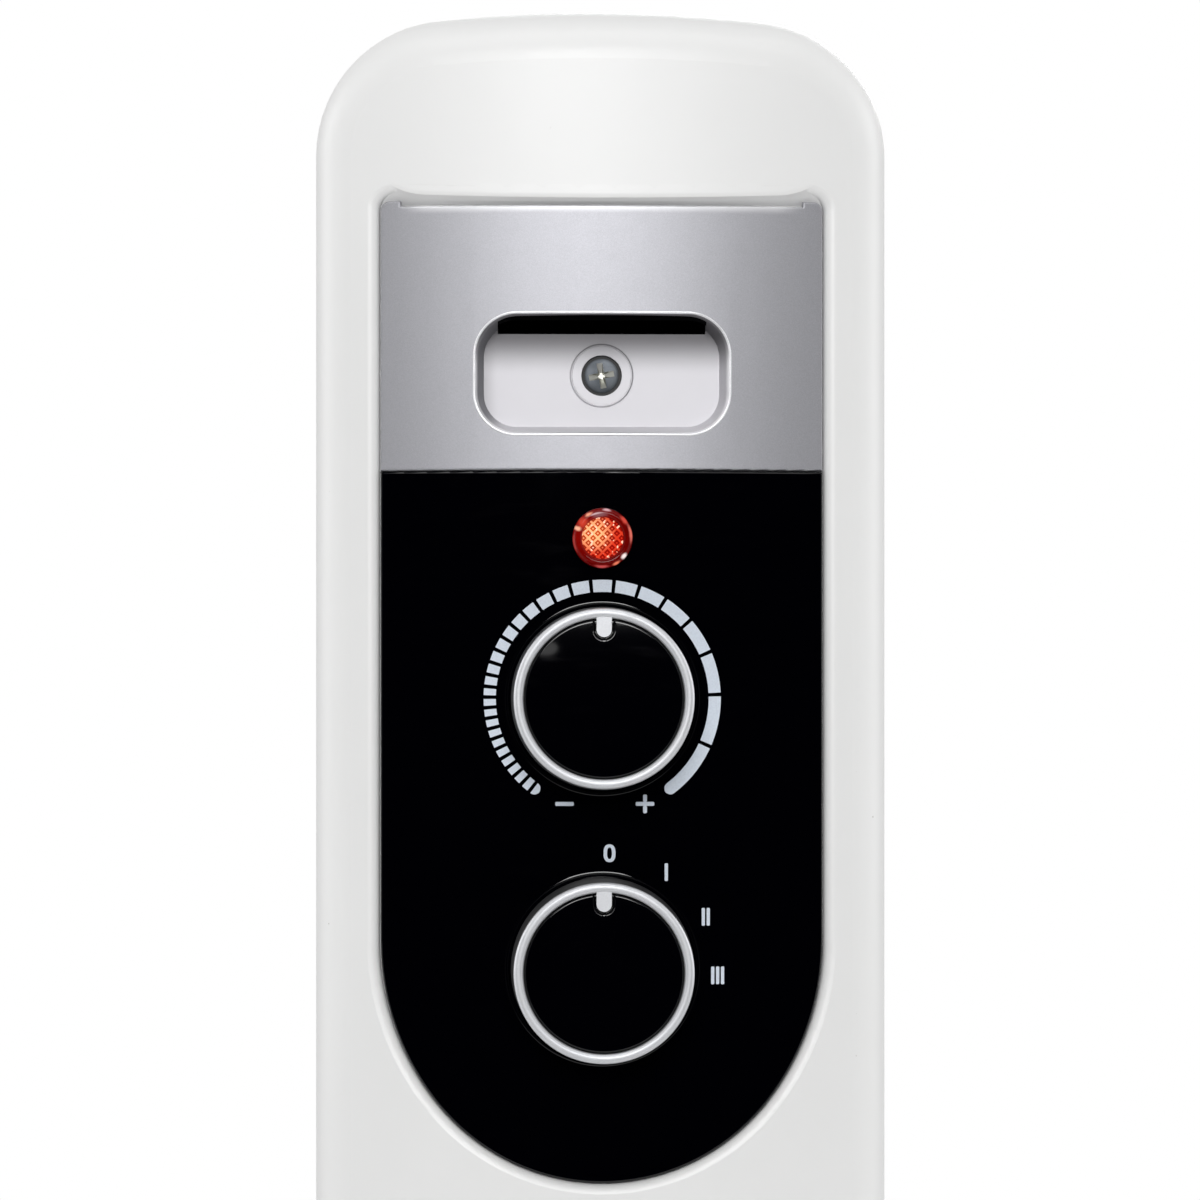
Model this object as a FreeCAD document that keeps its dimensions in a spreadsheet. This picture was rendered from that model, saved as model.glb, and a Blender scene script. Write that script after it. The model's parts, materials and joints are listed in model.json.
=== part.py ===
"""Oil-filled column radiator on four swivel castors, with its control housing at the front.

The front faces -Y, +Z is up, X runs across, and the origin is on the floor under the middle of the part.
All sizes are millimetres. The driving sizes are cells of the sheet "d"; every place follows from them.
"""
import FreeCAD
import Part
import Sketcher

import math
import os
import re

SIZES = [
    # the stack of oil-filled fins
    ("fin_count", 9, "fins in the stack"),
    ("fin_pitch", 36, "from one fin's web to the next"),
    ("fin_width", 140, "across a fin"),
    ("fin_height", 572, "from a fin's foot to its top"),
    ("fin_sheet", 0.8, "thickness of one pressed sheet"),
    ("fin_lip", 9, "how far the rim's edge curls back over the web"),
    ("fin_corner", 34, "corner radius of a fin's outline"),
    ("fin_curl", 5, "radius of the rim's curled edge"),
    ("duct_width", 92, "across the pressed oil loop"),
    ("duct_margin", 30, "from a fin's end to the oil loop"),
    ("duct_thick", 15, "thickness of the oil loop"),
    ("duct_flat", 12, "flat stretch across the oil loop's ends"),
    ("duct_round", 5, "radius of the oil loop's pressed edge"),
    ("island_width", 30, "welded land inside the oil loop"),
    ("island_flat", 4, "flat stretch across the welded land's ends"),
    ("island_reach", 34, "from a header's axis to the welded land"),
    ("header_radius", 17, "outside of the collars that join the fins"),
    ("header_inset", 76, "from a fin's end to a header's axis"),
    ("flange_thick", 2, "thickness of the plates that close the headers"),
    ("plug_fit", 0.3, "radial gap of a plug in its collar"),
    ("plug_length", 6, "how far a plug reaches into its collar"),
    # the electric heater in the lower header
    ("boss_radius", 12, "threaded boss of the heater"),
    ("boss_length", 18, "length of the threaded boss"),
    ("boss_fit", 0.3, "radial gap round a threaded boss or stud"),
    ("boss_nut_across", 32, "heater nut, across flats"),
    ("boss_nut_thick", 6, "heater nut thickness"),
    ("element_radius", 3.5, "heater rod radius"),
    ("element_spread", 7, "from the header's axis to a rod, across"),
    ("element_rise", 6, "from the header's axis to a rod, up"),
    ("element_gap", 16.5, "heater rod's bend to the rear plug"),
    ("pin_radius", 2, "heater terminal radius"),
    ("pin_length", 10, "heater terminal length"),
    ("stud_radius", 3, "stud of the upper front plug"),
    ("stud_length", 14, "length of that stud"),
    ("stud_nut_across", 10, "stud nut, across flats"),
    ("stud_nut_thick", 5, "stud nut thickness"),
    # the control housing
    ("side_border", 16.75, "front cover's side beyond the panel"),
    ("cover_lift", 6, "front cover's foot above the fins' foot"),
    ("cover_rise", 6, "front cover's top above the fins' top"),
    ("cover_depth", 78, "front cover, front to back"),
    ("cover_wall", 1.2, "front cover's sheet"),
    ("cover_crown", 500, "radius of the top's gentle crown"),
    ("cover_corner", 34, "radius of the top corners"),
    ("cover_base_corner", 18, "radius of the bottom corners"),
    ("cover_roll", 13, "radius of the rolled front edge"),
    ("face_crown", 220, "radius of the front face, seen from above"),
    ("recess_land", 0.8, "straight part of the recess's wall, under its rolled edge"),
    ("tray_sheet", 1, "back plate's sheet"),
    ("tray_depth", 10, "back plate's turned edge"),
    ("tray_gap", 0.2, "gap between back plate and cover"),
    # the silver fascia and the black panel
    ("panel_width", 113, "across the fascia and the panel"),
    ("panel_thick", 2.2, "thickness of fascia and panel"),
    ("panel_set", 1, "their face behind the cover's face"),
    ("panel_gap", 0.2, "gap round fascia and panel"),
    ("panel_seat", 0.2, "gap behind fascia and panel"),
    ("recess_corner", 4, "radius of the recess's upper corners"),
    ("brow_gap", 1.6, "gap over the fascia, half way across"),
    ("brow_bow", 1.5, "how much wider that gap is at the corners"),
    ("ear_width", 5.4, "raised ears at the fascia's upper corners, across"),
    ("ear_height", 1.3, "height of those ears"),
    ("ear_round", 2.2, "radius of those ears"),
    ("panel_edge", 0.5, "radius of the front edges of fascia and panel"),
    ("fascia_drop", 50, "from the cover's top to the fascia's top"),
    ("nose_inset", 2.5, "radius of the panel's rounded foot under half its width"),
    ("nose_drop", 7, "centre of that radius below the straight sides"),
    # the grip pocket in the fascia
    ("pocket_width", 64.4, "mouth of the grip pocket, across"),
    ("pocket_height", 30.4, "mouth of the grip pocket, up"),
    ("pocket_corner", 10.5, "corner radius of the mouth"),
    ("pocket_depth", 11, "depth of the pocket's floor"),
    ("pocket_draft", 11, "slope of the pocket's walls, degrees"),
    ("pocket_wall", 1.6, "thickness of the pocket's walls"),
    ("pocket_lip", 0.8, "radius of the mouth's edge"),
    ("pocket_drop", 27.6, "from the fascia's top to the mouth"),
    ("pocket_fit", 0.2, "gap round the pocket in the cover's window"),
    ("pocket_sill", 9.4, "from the mouth to the fascia's foot"),
    ("slot_width", 53, "slot along the top of the pocket's floor"),
    ("slot_height", 4.6, "height of that slot below the mouth's top"),
    ("slot_step", 2, "slot's front behind the fascia's back"),
    ("screw_boss_radius", 7.9, "boss under the fascia screw"),
    ("screw_boss_proud", 0.5, "how far the boss stands out of the floor"),
    ("screw_boss_length", 6, "length of the boss behind the floor"),
    ("screw_well_radius", 5.2, "well round the fascia screw's head"),
    ("screw_well_depth", 2.4, "depth of that well"),
    ("screw_head_radius", 4.4, "fascia screw's head"),
    ("screw_head_thick", 2, "thickness of that head"),
    ("screw_shank_radius", 2, "fascia screw's shank"),
    ("screw_shank_length", 11, "length of that shank"),
    ("screw_fit", 0.15, "radial gap round a screw"),
    ("strap_width", 18, "strap behind the fascia, up"),
    ("strap_margin", 13.8, "strap behind the fascia, past the pocket's mouth"),
    ("strap_sheet", 1.5, "thickness of the strap"),
    # the signal lamp
    ("lamp_drop", 17.2, "from the panel's top to the lamp"),
    ("lens_radius", 7.6, "lens flange"),
    ("lens_proud", 3, "how far the lens stands out of the panel"),
    ("lens_edge", 1.4, "radius of the lens's rounded edge"),
    ("lens_stem", 6.3, "lens stem radius"),
    ("lens_wall", 1.2, "wall of the lens stem"),
    ("lens_fit", 0.2, "gap round the lens stem"),
    ("bulb_radius", 3, "glow lamp's glass"),
    ("bulb_length", 9, "glow lamp's glass length"),
    ("bulb_gap", 1, "glow lamp's glass to the lens"),
    ("bulb_base_length", 4, "glow lamp's base in the stem"),
    ("bulb_proud", 1, "glow lamp's base behind the stem"),
    # the two rotary controls
    ("dial_drop", 40.6, "from the lamp to the thermostat's axis"),
    ("switch_drop", 68.5, "from the thermostat's axis to the switch's axis"),
    ("panel_tail", 54.5, "from the switch's axis to the panel's foot"),
    ("bush_radius", 4.9, "threaded bush of a control"),
    ("bush_fit", 0.2, "gap round a threaded bush"),
    ("bush_nut_across", 14, "bush nut, across flats"),
    ("nut_hole_radius", 10, "hole in the panel round a bush nut"),
    ("shoulder_radius", 8, "shoulder behind the recess floor"),
    ("seat_gap", 0.15, "gap where a flat seat meets the curved face"),
    ("spindle_radius", 3, "control spindle"),
    ("spindle_flat", 1, "depth of the spindle's flat"),
    ("spindle_fit", 0.05, "radial gap round a spindle"),
    ("spindle_grip", 11, "spindle inside the knob"),
    ("spindle_tail", 12, "spindle inside the control"),
    ("control_set", 1.2, "control's case behind its shoulder"),
    ("thermostat_wide", 38, "thermostat case, across"),
    ("thermostat_deep", 24, "thermostat case, front to back"),
    ("thermostat_tall", 34, "thermostat case, up"),
    ("bimetal_wide", 12, "bimetal strip, across"),
    ("bimetal_length", 26, "bimetal strip below the case"),
    ("bimetal_thick", 1.2, "bimetal strip thickness"),
    ("switch_wide", 36, "switch case, across"),
    ("switch_deep", 26, "switch case, front to back"),
    ("switch_tall", 36, "switch case, up"),
    ("tab_wide", 6.3, "switch terminal, across"),
    ("tab_thick", 0.8, "switch terminal thickness"),
    ("tab_length", 9, "switch terminal length"),
    # the knobs
    ("knob_lift", 0.8, "knob's skirt above the panel"),
    ("knob_height", 19, "knob, skirt to ring"),
    ("knob_flare", 0.6, "skirt at the panel beyond the ring"),
    ("knob_top", 22.6, "radius at the ring"),
    ("knob_wall", 3, "wall of the hollow skirt"),
    ("knob_web", 5, "thickness behind the ring and cap"),
    ("hub_radius", 7, "knob's hub"),
    ("ring_width", 2.45, "width of the silver ring"),
    ("ring_height", 2.6, "height of the silver ring"),
    ("ring_round", 1.1, "radius of the ring's crest"),
    ("pointer_width", 3.8, "width of the pointer"),
    ("pointer_reach", 7.2, "pointer's tip from the ring's outside"),
    ("pointer_set", 0.35, "pointer below the ring's crest"),
    ("cap_gap", 0.3, "gap between cap and ring"),
    ("cap_set", 0.7, "cap's rim below the ring's crest"),
    ("cap_dome", 0.5, "rise of the cap's middle"),
    ("cap_edge", 0.8, "radius of the cap's edge"),
    # inside the housing
    ("cutout_radius", 8, "thermal cut-out"),
    ("cutout_height", 7, "thermal cut-out height"),
    ("cutout_rise", 62, "thermal cut-out above the heater"),
    ("block_wide", 34, "terminal block, across"),
    ("block_deep", 14, "terminal block, front to back"),
    ("block_tall", 18, "terminal block, up"),
    ("block_rise", 105, "terminal block above the heater"),
    ("lead_radius", 1.3, "inner lead"),
    ("inlet_setback", 44, "cord inlet behind the cover's face"),
    ("inlet_bore", 3.8, "cord inlet's bore radius"),
    ("inlet_neck", 6.6, "cord inlet's neck radius"),
    ("inlet_flange", 9, "cord inlet's flange radius"),
    ("inlet_flange_thick", 2.5, "cord inlet's flange thickness"),
    ("inlet_bevel", 1, "bevel of the inlet's flange"),
    ("inlet_tail", 7.5, "inlet inside the cover"),
    ("inlet_fit", 0.2, "gap round the inlet's neck"),
    # small screws
    ("side_head_radius", 3.4, "cover screw's head"),
    ("side_head_thick", 1.9, "cover screw's head thickness"),
    ("side_shank_radius", 1.6, "cover screw's shank"),
    ("side_shank_length", 8, "cover screw's shank length"),
    ("side_screw_inset", 70, "outer cover screws from the cover's ends"),
    # the feet
    ("foot_span", 240, "foot, across"),
    ("foot_width", 40, "foot, along the stack"),
    ("foot_height", 10, "foot's turned edge"),
    ("foot_sheet", 2, "foot's sheet"),
    ("foot_corner", 17, "foot's corner radius"),
    ("foot_round", 3, "foot's pressed edge"),
    ("hook_radius", 3, "hook bolt's rod"),
    ("hook_fit", 0.3, "gap round the hook bolt"),
    ("hook_room", 1, "hook bolt's gap to the fins beside it"),
    ("hook_tail", 14, "hook bolt below the foot's sheet"),
    ("wing_radius", 6, "wing nut's body"),
    ("wing_height", 7, "wing nut's body height"),
    ("wing_reach", 13, "wing nut's wing from its axis"),
    ("wing_thick", 2.5, "wing nut's wing thickness"),
    ("wing_drop", 5, "wing below the body"),
    # the castors
    ("castor_inset", 18, "swivel axis from the foot's end"),
    ("castor_trail", 14, "axle behind the swivel axis"),
    ("wheel_radius", 21, "castor wheel"),
    ("wheel_width", 16, "castor wheel width"),
    ("wheel_edge", 3, "radius of the tread's edge"),
    ("wheel_dish", 3, "depth of the dished side"),
    ("wheel_rim", 4, "depth of the tread's rim"),
    ("wheel_hub", 7, "wheel hub radius"),
    ("axle_radius", 3, "axle radius"),
    ("axle_head", 4.6, "axle's head radius"),
    ("axle_head_thick", 1.4, "axle's head thickness"),
    ("axle_fit", 0.05, "running gap round an axle or a stem"),
    ("cheek_gap", 0.7, "gap between wheel and cheek"),
    ("cheek_thick", 3, "fork cheek thickness"),
    ("cheek_round", 8, "radius of the cheek round the axle"),
    ("cheek_edge", 1.2, "radius of the cheek's edges"),
    ("crown_gap", 2.5, "gap between wheel and fork crown"),
    ("crown_thick", 4, "fork crown thickness"),
    ("crown_room", 3.5, "fork crown below the foot's edge"),
    ("crown_margin", 2.5, "fork crown in front of the thrust collar"),
    ("thrust_radius", 9, "fork's thrust collar"),
    ("thrust_gap", 0.2, "running gap under and over the foot's sheet"),
    ("stem_radius", 4, "fork's stem"),
    ("stem_head", 7, "head on the stem"),
    ("stem_head_thick", 2.4, "thickness of that head"),
]

PLACES = {
    # along the stack
    "fin_rim": "fin_pitch - 2 * (hook_radius + hook_room)",
    "element_reach": "element_spread + element_radius + element_gap",
    "element_length": "fin_count * fin_pitch - 2 * plug_length - element_reach",
    "recess_depth": "panel_set + panel_thick + panel_seat",
    "recess_roll": "recess_depth - recess_land",
    "lens_stem_length": "bulb_gap + bulb_length + bulb_base_length",
    "panel_face": "face + panel_set",
    "knob_base": "panel_face - knob_lift",
    "knob_front": "knob_base - knob_height",
    "knob_shoulder": "knob_front + ring_height",
    "knob_proud": "knob_height + knob_lift - panel_set",
    "stack_length": "cover_depth + 2 * flange_thick + fin_count * fin_pitch",
    "face": "-(stack_length - knob_proud) / 2",
    "cover_rear": "face + cover_depth",
    "collar_front": "cover_rear + flange_thick",
    "first_web": "collar_front + fin_pitch / 2",
    "last_web": "first_web + (fin_count - 1) * fin_pitch",
    "collar_rear": "last_web + fin_pitch / 2",
    "tray_front": "cover_rear - tray_sheet",
    "pin_end": "cover_rear - boss_length - pin_length",
    "floor_front": "face + recess_depth",
    "floor_back": "floor_front + cover_wall",
    "crown_axis": "face + face_crown",
    "shoulder_face": "floor_back + seat_gap",
    "control_face": "shoulder_face + control_set",
    "bulb_back": "panel_face + lens_stem_length + bulb_proud",
    "pocket_floor": "face + pocket_depth",
    "boss_end": "pocket_floor + pocket_wall + screw_boss_length",
    # upwards
    "ground_clearance": "fork_crown + crown_thick + crown_room + foot_height",
    "cover_height": "fin_height + cover_rise - cover_lift",
    "fascia_height": "pocket_drop + pocket_height + pocket_sill",
    "panel_height": "lamp_drop + dial_drop + switch_drop + panel_tail",
    "cover_foot": "ground_clearance + cover_lift",
    "cover_head": "cover_foot + cover_height",
    "fascia_head": "cover_head - fascia_drop",
    "panel_head": "fascia_head - fascia_height",
    "panel_foot": "panel_head - panel_height",
    "arch_level": "panel_foot + arch_height",
    "lamp_level": "panel_head - lamp_drop",
    "dial_level": "lamp_level - dial_drop",
    "switch_level": "dial_level - switch_drop",
    "pocket_head": "fascia_head - pocket_drop",
    "pocket_level": "pocket_head - pocket_height / 2",
    "header_low": "ground_clearance + header_inset",
    "header_high": "ground_clearance + fin_height - header_inset",
    "foot_under": "ground_clearance - foot_sheet",
    "fork_crown": "2 * wheel_radius + crown_gap",
    "thrust_top": "foot_under - thrust_gap",
    # the flanks of the panel's rounded foot, tangent to its sides and to its nose
    "panel_half": "panel_width / 2",
    "arch_nose": "panel_half - nose_inset",
    "arch_height": "arch_nose + nose_drop",
    "arch_flank": "(panel_half^2 + nose_drop^2 - arch_nose^2) / (2 * nose_inset)",
    "nose_step": "arch_flank - arch_nose",
    # across
    "duct_corner": "(duct_width - duct_flat) / 2",
    "island_corner": "(island_width - island_flat) / 2",
    "cover_width": "panel_width + 2 * side_border",
    "strap_span": "pocket_width + 2 * strap_margin",
    "knob_skirt": "knob_top + knob_flare",
    "hook_bend": "header_radius + hook_radius + hook_fit",
    "castor_side": "foot_span / 2 - castor_inset",
    "fork_half": "wheel_width / 2 + cheek_gap + cheek_thick",
    "fork_gap": "wheel_width / 2 + cheek_gap",
    "ring_bore": "knob_top - ring_width",
    "pointer_round": "knob_top - pointer_reach + pointer_width / 2",
}

ALONG = {
    "x": FreeCAD.Rotation(FreeCAD.Vector(0, 1, 0), 90),
    "y": FreeCAD.Rotation(FreeCAD.Vector(1, 0, 0), -90),
    "z": FreeCAD.Rotation(),
}
UPRIGHT = FreeCAD.Rotation(FreeCAD.Vector(1, 0, 0), 90)
SIDEWAYS = FreeCAD.Rotation(FreeCAD.Vector(1, 1, 1), 120)
DIRECTIONS = {"x": FreeCAD.Vector(1, 0, 0), "y": FreeCAD.Vector(0, 1, 0), "z": FreeCAD.Vector(0, 0, 1)}
NEAR = 1e-4
FLAT = 0.01

doc = FreeCAD.newDocument("OilRadiator")
sheet = doc.addObject("Spreadsheet::Sheet", "d")
subparts = []


# The sheet and the sums that are tied to it


def fill_sheet():
    """Writes each driving size into the sheet, with its name as the cell's alias."""
    for row, (alias, value, words) in enumerate(SIZES, 1):
        sheet.set(f"A{row}", alias)
        sheet.set(f"B{row}", str(value))
        sheet.setAlias(f"B{row}", alias)
        sheet.set(f"C{row}", words)
    doc.recompute()


ALIASES = {alias for alias, _, _ in SIZES}


def tied(text):
    """The same sum with each size's name pointing at its cell, and each place worked out from sizes."""

    def point(match):
        name = match[0]
        if name in PLACES:
            return "(" + tied(PLACES[name]) + ")"
        return "d." + name if name in ALIASES else name

    return re.sub(r"[a-z_]+", point, str(text))


def size(text):
    """What a sum comes to, in millimetres."""
    return float(sheet.evalExpression(tied(text)))


def bind(thing, **sums):
    """Ties properties of a document object to the sheet."""
    for name, text in sums.items():
        thing.setExpression(name, tied(text))
    return thing


def place(thing, where, rotation=None):
    """Puts an object at three sums, turned by a rotation."""
    if rotation is not None:
        thing.Placement = FreeCAD.Placement(FreeCAD.Vector(), rotation)
    for axis, text in zip("xyz", where):
        thing.setExpression(f"Placement.Base.{axis}", tied(text))
    return thing


def subpart(thing, label):
    """Names an object as one of the radiator's pieces."""
    thing.Label = label
    subparts.append(thing)
    return thing


# Plain solids and how they are put together


def box(name, extent, corner):
    """A box of three sums, whose lowest corner is at three sums."""
    made = doc.addObject("Part::Box", name)
    bind(made, Length=extent[0], Width=extent[1], Height=extent[2])
    return place(made, corner)


def rod(name, radius, length, start, along="z"):
    """A cylinder from a point, along one axis."""
    made = doc.addObject("Part::Cylinder", name)
    bind(made, Radius=radius, Height=length)
    return place(made, start, ALONG[along])


def cut(name, base, *tools):
    """The base with the tools taken out of it."""
    made = doc.addObject("Part::Cut", name)
    made.Base = base
    made.Tool = tools[0] if len(tools) == 1 else fuse(name + "Tools", *tools)
    return made


def fuse(name, *things):
    """Several solids as one."""
    made = doc.addObject("Part::MultiFuse", name)
    made.Shapes = list(things)
    return made


def common(name, *things):
    """What several solids share."""
    made = doc.addObject("Part::MultiCommon", name)
    made.Shapes = list(things)
    return made


def group(name, *things):
    """Several separate solids in one piece of the document."""
    made = doc.addObject("Part::Compound", name)
    made.Links = list(things)
    return made


def rounded(name, base, radius, chosen):
    """The base with the chosen edges rounded. chosen takes the base's shape and gives its edges."""
    doc.recompute()
    edges = chosen(base.Shape)
    if not edges:
        raise RuntimeError(f"{name}: no edge to round")
    numbers = [1 + next(i for i, e in enumerate(base.Shape.Edges) if e.isSame(edge)) for edge in edges]
    made = doc.addObject("Part::Fillet", name)
    made.Base = base
    made.Edges = [(number, size(radius), size(radius)) for number in numbers]
    return made


def lines_along(axis, keep=lambda middle: True):
    """Chooses the straight edges that run along an axis and whose middle passes a test."""

    def chosen(shape):
        lines = [edge for edge in shape.Edges if edge.Curve.TypeId == "Part::GeomLine"]
        along = [edge for edge in lines if abs(edge.Curve.Direction.dot(DIRECTIONS[axis])) > 1 - NEAR]
        return [edge for edge in along if keep(edge.BoundBox.Center)]

    return chosen


def edges_at(axis, *levels):
    """Chooses the edges that lie flat at one of the levels along an axis."""

    def chosen(shape):
        found = []
        for edge in shape.Edges:
            span = [getattr(edge.BoundBox, axis.upper() + end) for end in ("Min", "Max")]
            if any(max(abs(place - level) for place in span) < FLAT for level in levels):
                found.append(edge)
        return found

    return chosen


# Sketches whose corners are tied to the sheet


def outline(sketch, corners):
    """A closed outline through corners, each (x, y) or (x, y, radius, turn).

    Radius and turn make the stretch that leaves that corner an arc, turning left for 1 and right for -1.
    """
    points = [FreeCAD.Vector(size(c[0]), size(c[1]), 0) for c in corners]
    count = len(corners)
    for i, corner in enumerate(corners):
        start, end = points[i], points[(i + 1) % count]
        if len(corner) == 2:
            sketch.addGeometry(Part.LineSegment(start, end), False)
            continue
        radius, turn = size(corner[2]), corner[3]
        chord = end - start
        left = FreeCAD.Vector(-chord.y, chord.x, 0).normalize()
        middle = (start + end) / 2
        height = math.sqrt(max(0.0, radius**2 - (chord.Length / 2) ** 2))
        crest = middle - left * turn * (radius - height)
        ends = (start, end) if turn > 0 else (end, start)
        sketch.addGeometry(Part.Arc(ends[0], crest, ends[1]), False)

    def end_at(geometry, point):
        return 1 if (sketch.Geometry[geometry].StartPoint - point).Length < NEAR else 2

    for i, corner in enumerate(corners):
        before = (i - 1) % count
        here = end_at(i, points[i])
        sketch.addConstraint(Sketcher.Constraint("Coincident", before, end_at(before, points[i]), i, here))
        for kind, text in zip(("DistanceX", "DistanceY"), corner):
            number = sketch.addConstraint(Sketcher.Constraint(kind, -1, 1, i, here, size(text)))
            sketch.setExpression(f"Constraints[{number}]", tied(text))
        if len(corner) == 4:
            number = sketch.addConstraint(Sketcher.Constraint("Radius", i, size(corner[2])))
            sketch.setExpression(f"Constraints[{number}]", tied(corner[2]))
    return sketch


def upright_sketch(name, corners, level):
    """An outline in X and Z at a level along Y."""
    made = doc.addObject("Sketcher::SketchObject", name)
    place(made, ("0", level, "0"), UPRIGHT)
    return outline(made, corners)


def prism(name, sketch, length, draft="0", along="y"):
    """An outline drawn out along an axis, drawn in by a draft angle."""
    made = doc.addObject("Part::Extrusion", name)
    made.Base = sketch
    made.DirMode = "Custom"
    made.Dir = DIRECTIONS[along]
    made.Solid = True
    bind(made, LengthFwd=length, TaperAngle=f"-({draft})")
    return made


def new_body(name):
    """An empty body."""
    return doc.addObject("PartDesign::Body", name)


def body_sketch(body, name, plane, corners):
    """An outline on one of the body's own planes."""
    sketch = body.newObject("Sketcher::SketchObject", name)
    support = next(f for f in body.Origin.OriginFeatures if f.Role == plane)
    sketch.AttachmentSupport = [(support, "")]
    sketch.MapMode = "FlatFace"
    return outline(sketch, corners)


def spun(name, corners, where, along="y"):
    """A body turned about an axis from a half section. A corner is (radius, place along the axis)."""
    body = new_body(name)
    if along == "x":
        corners = [(c[1], c[0], *c[2:]) for c in corners]
    sketch = body_sketch(body, name + "Half", "XZ_Plane" if along == "z" else "XY_Plane", corners)
    turn = body.newObject("PartDesign::Revolution", name + "Turn")
    turn.Profile = sketch
    turn.ReferenceAxis = (sketch, ["H_Axis" if along == "x" else "V_Axis"])
    turn.Angle = 360
    return place(body, where)


def padded(body, sketch, length):
    """Adds a pad of an upright sketch to its body, towards +Y."""
    made = body.newObject("PartDesign::Pad", sketch.Name + "Pad")
    made.Profile = sketch
    made.Reversed = True
    bind(made, Length=length)
    return made


def pocketed(body, sketch, length):
    """Takes a pocket of an upright sketch out of its body, towards +Y."""
    made = body.newObject("PartDesign::Pocket", sketch.Name + "Pocket")
    made.Profile = sketch
    bind(made, Length=length)
    return made


def hexagon(across):
    """Corners of a hexagon, flat to the left and right, of a width across its flats."""
    half, corner = f"({across}) / 2", f"({across}) / sqrt(3)"
    return [
        (half, f"-{corner} / 2"),
        (half, f"{corner} / 2"),
        ("0", corner),
        (f"-{half}", f"{corner} / 2"),
        (f"-{half}", f"-{corner} / 2"),
        ("0", f"-{corner}"),
    ]


def nut(name, across, thick, bore, where):
    """A hexagon nut with its axis along Y, from a level backwards."""
    body = new_body(name)
    padded(body, body_sketch(body, name + "Hex", "XZ_Plane", hexagon(across)), thick)
    doc.recompute()
    hole = body.newObject("Sketcher::SketchObject", name + "Bore")
    hole.AttachmentSupport = [(next(f for f in body.Origin.OriginFeatures if f.Role == "XZ_Plane"), "")]
    hole.MapMode = "FlatFace"
    hole.addGeometry(Part.Circle(FreeCAD.Vector(), FreeCAD.Vector(0, 0, 1), size(bore)), False)
    hole.addConstraint(Sketcher.Constraint("Coincident", -1, 1, 0, 3))
    number = hole.addConstraint(Sketcher.Constraint("Radius", 0, size(bore)))
    hole.setExpression(f"Constraints[{number}]", tied(bore))
    pocketed(body, hole, thick)
    return place(body, where)


# The stack of fins


def rounded_block(name, wide, thick, low, high, corner):
    """A slab standing in X and Z, centred on Y, with four rounded corners."""
    extent = (wide, thick, f"({high}) - ({low})")
    block = box(name + "Block", extent, (f"-({wide}) / 2", f"-({thick}) / 2", low))
    return rounded(name, block, corner, lines_along("y"))


def soft_edges(name, slab, thick, radius):
    """Rounds the edges of both faces of a slab."""
    half = size(thick) / 2
    return rounded(name, slab, radius, edges_at("y", -half, half))


def rim_form(name, inset):
    """The outside of a fin's rim, or its inside one sheet further in."""
    slab = rounded_block(
        name + "Slab",
        f"fin_width - 2 * {inset}",
        f"fin_rim - 2 * {inset}",
        inset,
        f"fin_height - {inset}",
        f"fin_corner - {inset}",
    )
    return soft_edges(name, slab, f"fin_rim - 2 * {inset}", f"fin_curl - {inset}")


def duct_form(name, inset):
    """The outside of the oil loop, or its inside one sheet further in."""
    thick = f"duct_thick - 2 * {inset}"
    loop = rounded_block(
        name + "Loop",
        f"duct_width - 2 * {inset}",
        thick,
        f"duct_margin + {inset}",
        f"fin_height - duct_margin - {inset}",
        f"duct_corner - {inset}",
    )
    island = rounded_block(
        name + "Island",
        f"island_width + 2 * {inset}",
        f"duct_thick + {inset}",
        f"header_inset + island_reach - {inset}",
        f"fin_height - header_inset - island_reach + {inset}",
        f"island_corner + {inset}",
    )
    return soft_edges(name, cut(name + "Ring", loop, island), thick, f"duct_round - {inset}")


def header_pair(name, radius, length):
    """Two cylinders along the stack, one at each header of a fin."""
    ends = [
        rod(name + end, radius, length, ("0", f"-({length}) / 2", level), "y")
        for end, level in (("Low", "header_inset"), ("High", "fin_height - header_inset"))
    ]
    return fuse(name, *ends)


def fin_master():
    """One welded fin: curled rim, web of two sheets, hollow oil loop and the collars of both headers."""
    mouth = rounded_block(
        "RimMouth",
        "fin_width - 2 * fin_lip",
        "fin_rim + fin_lip",
        "fin_lip",
        "fin_height - fin_lip",
        "fin_corner - fin_lip",
    )
    rim = cut("Rim", rim_form("RimOut", "0"), fuse("RimHollow", rim_form("RimIn", "fin_sheet"), mouth))
    web = rounded_block(
        "Web",
        "fin_width - fin_sheet",
        "2 * fin_sheet",
        "fin_sheet / 2",
        "fin_height - fin_sheet / 2",
        "fin_corner - fin_sheet / 2",
    )
    collars = header_pair("Collars", "header_radius", "fin_pitch")
    skin = fuse("FinSkin", rim, web, duct_form("DuctOut", "0"), collars)
    hollow = fuse(
        "FinHollow",
        duct_form("DuctIn", "fin_sheet"),
        header_pair("CollarBores", "header_radius - fin_sheet", "2 * fin_pitch"),
    )
    return cut("FinMaster", skin, hollow)


def fins():
    """The fins, all alike, standing collar to collar."""
    master = fin_master()
    for number in range(int(size("fin_count"))):
        fin = group(f"Fin{number + 1}", master)
        place(fin, ("0", f"first_web + {number} * fin_pitch", "ground_clearance"))
        subpart(fin, f"fin_{number + 1}")


def plug_section(tip):
    """Half section of a plug in a collar, from its disc's outer face at 0 to its tip."""
    return [
        ("0", "0"),
        ("header_radius", "0"),
        ("header_radius", "flange_thick"),
        ("header_radius - fin_sheet - plug_fit", "flange_thick"),
        ("header_radius - fin_sheet - plug_fit", f"flange_thick + {tip}"),
        ("0", f"flange_thick + {tip}"),
    ]


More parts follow.
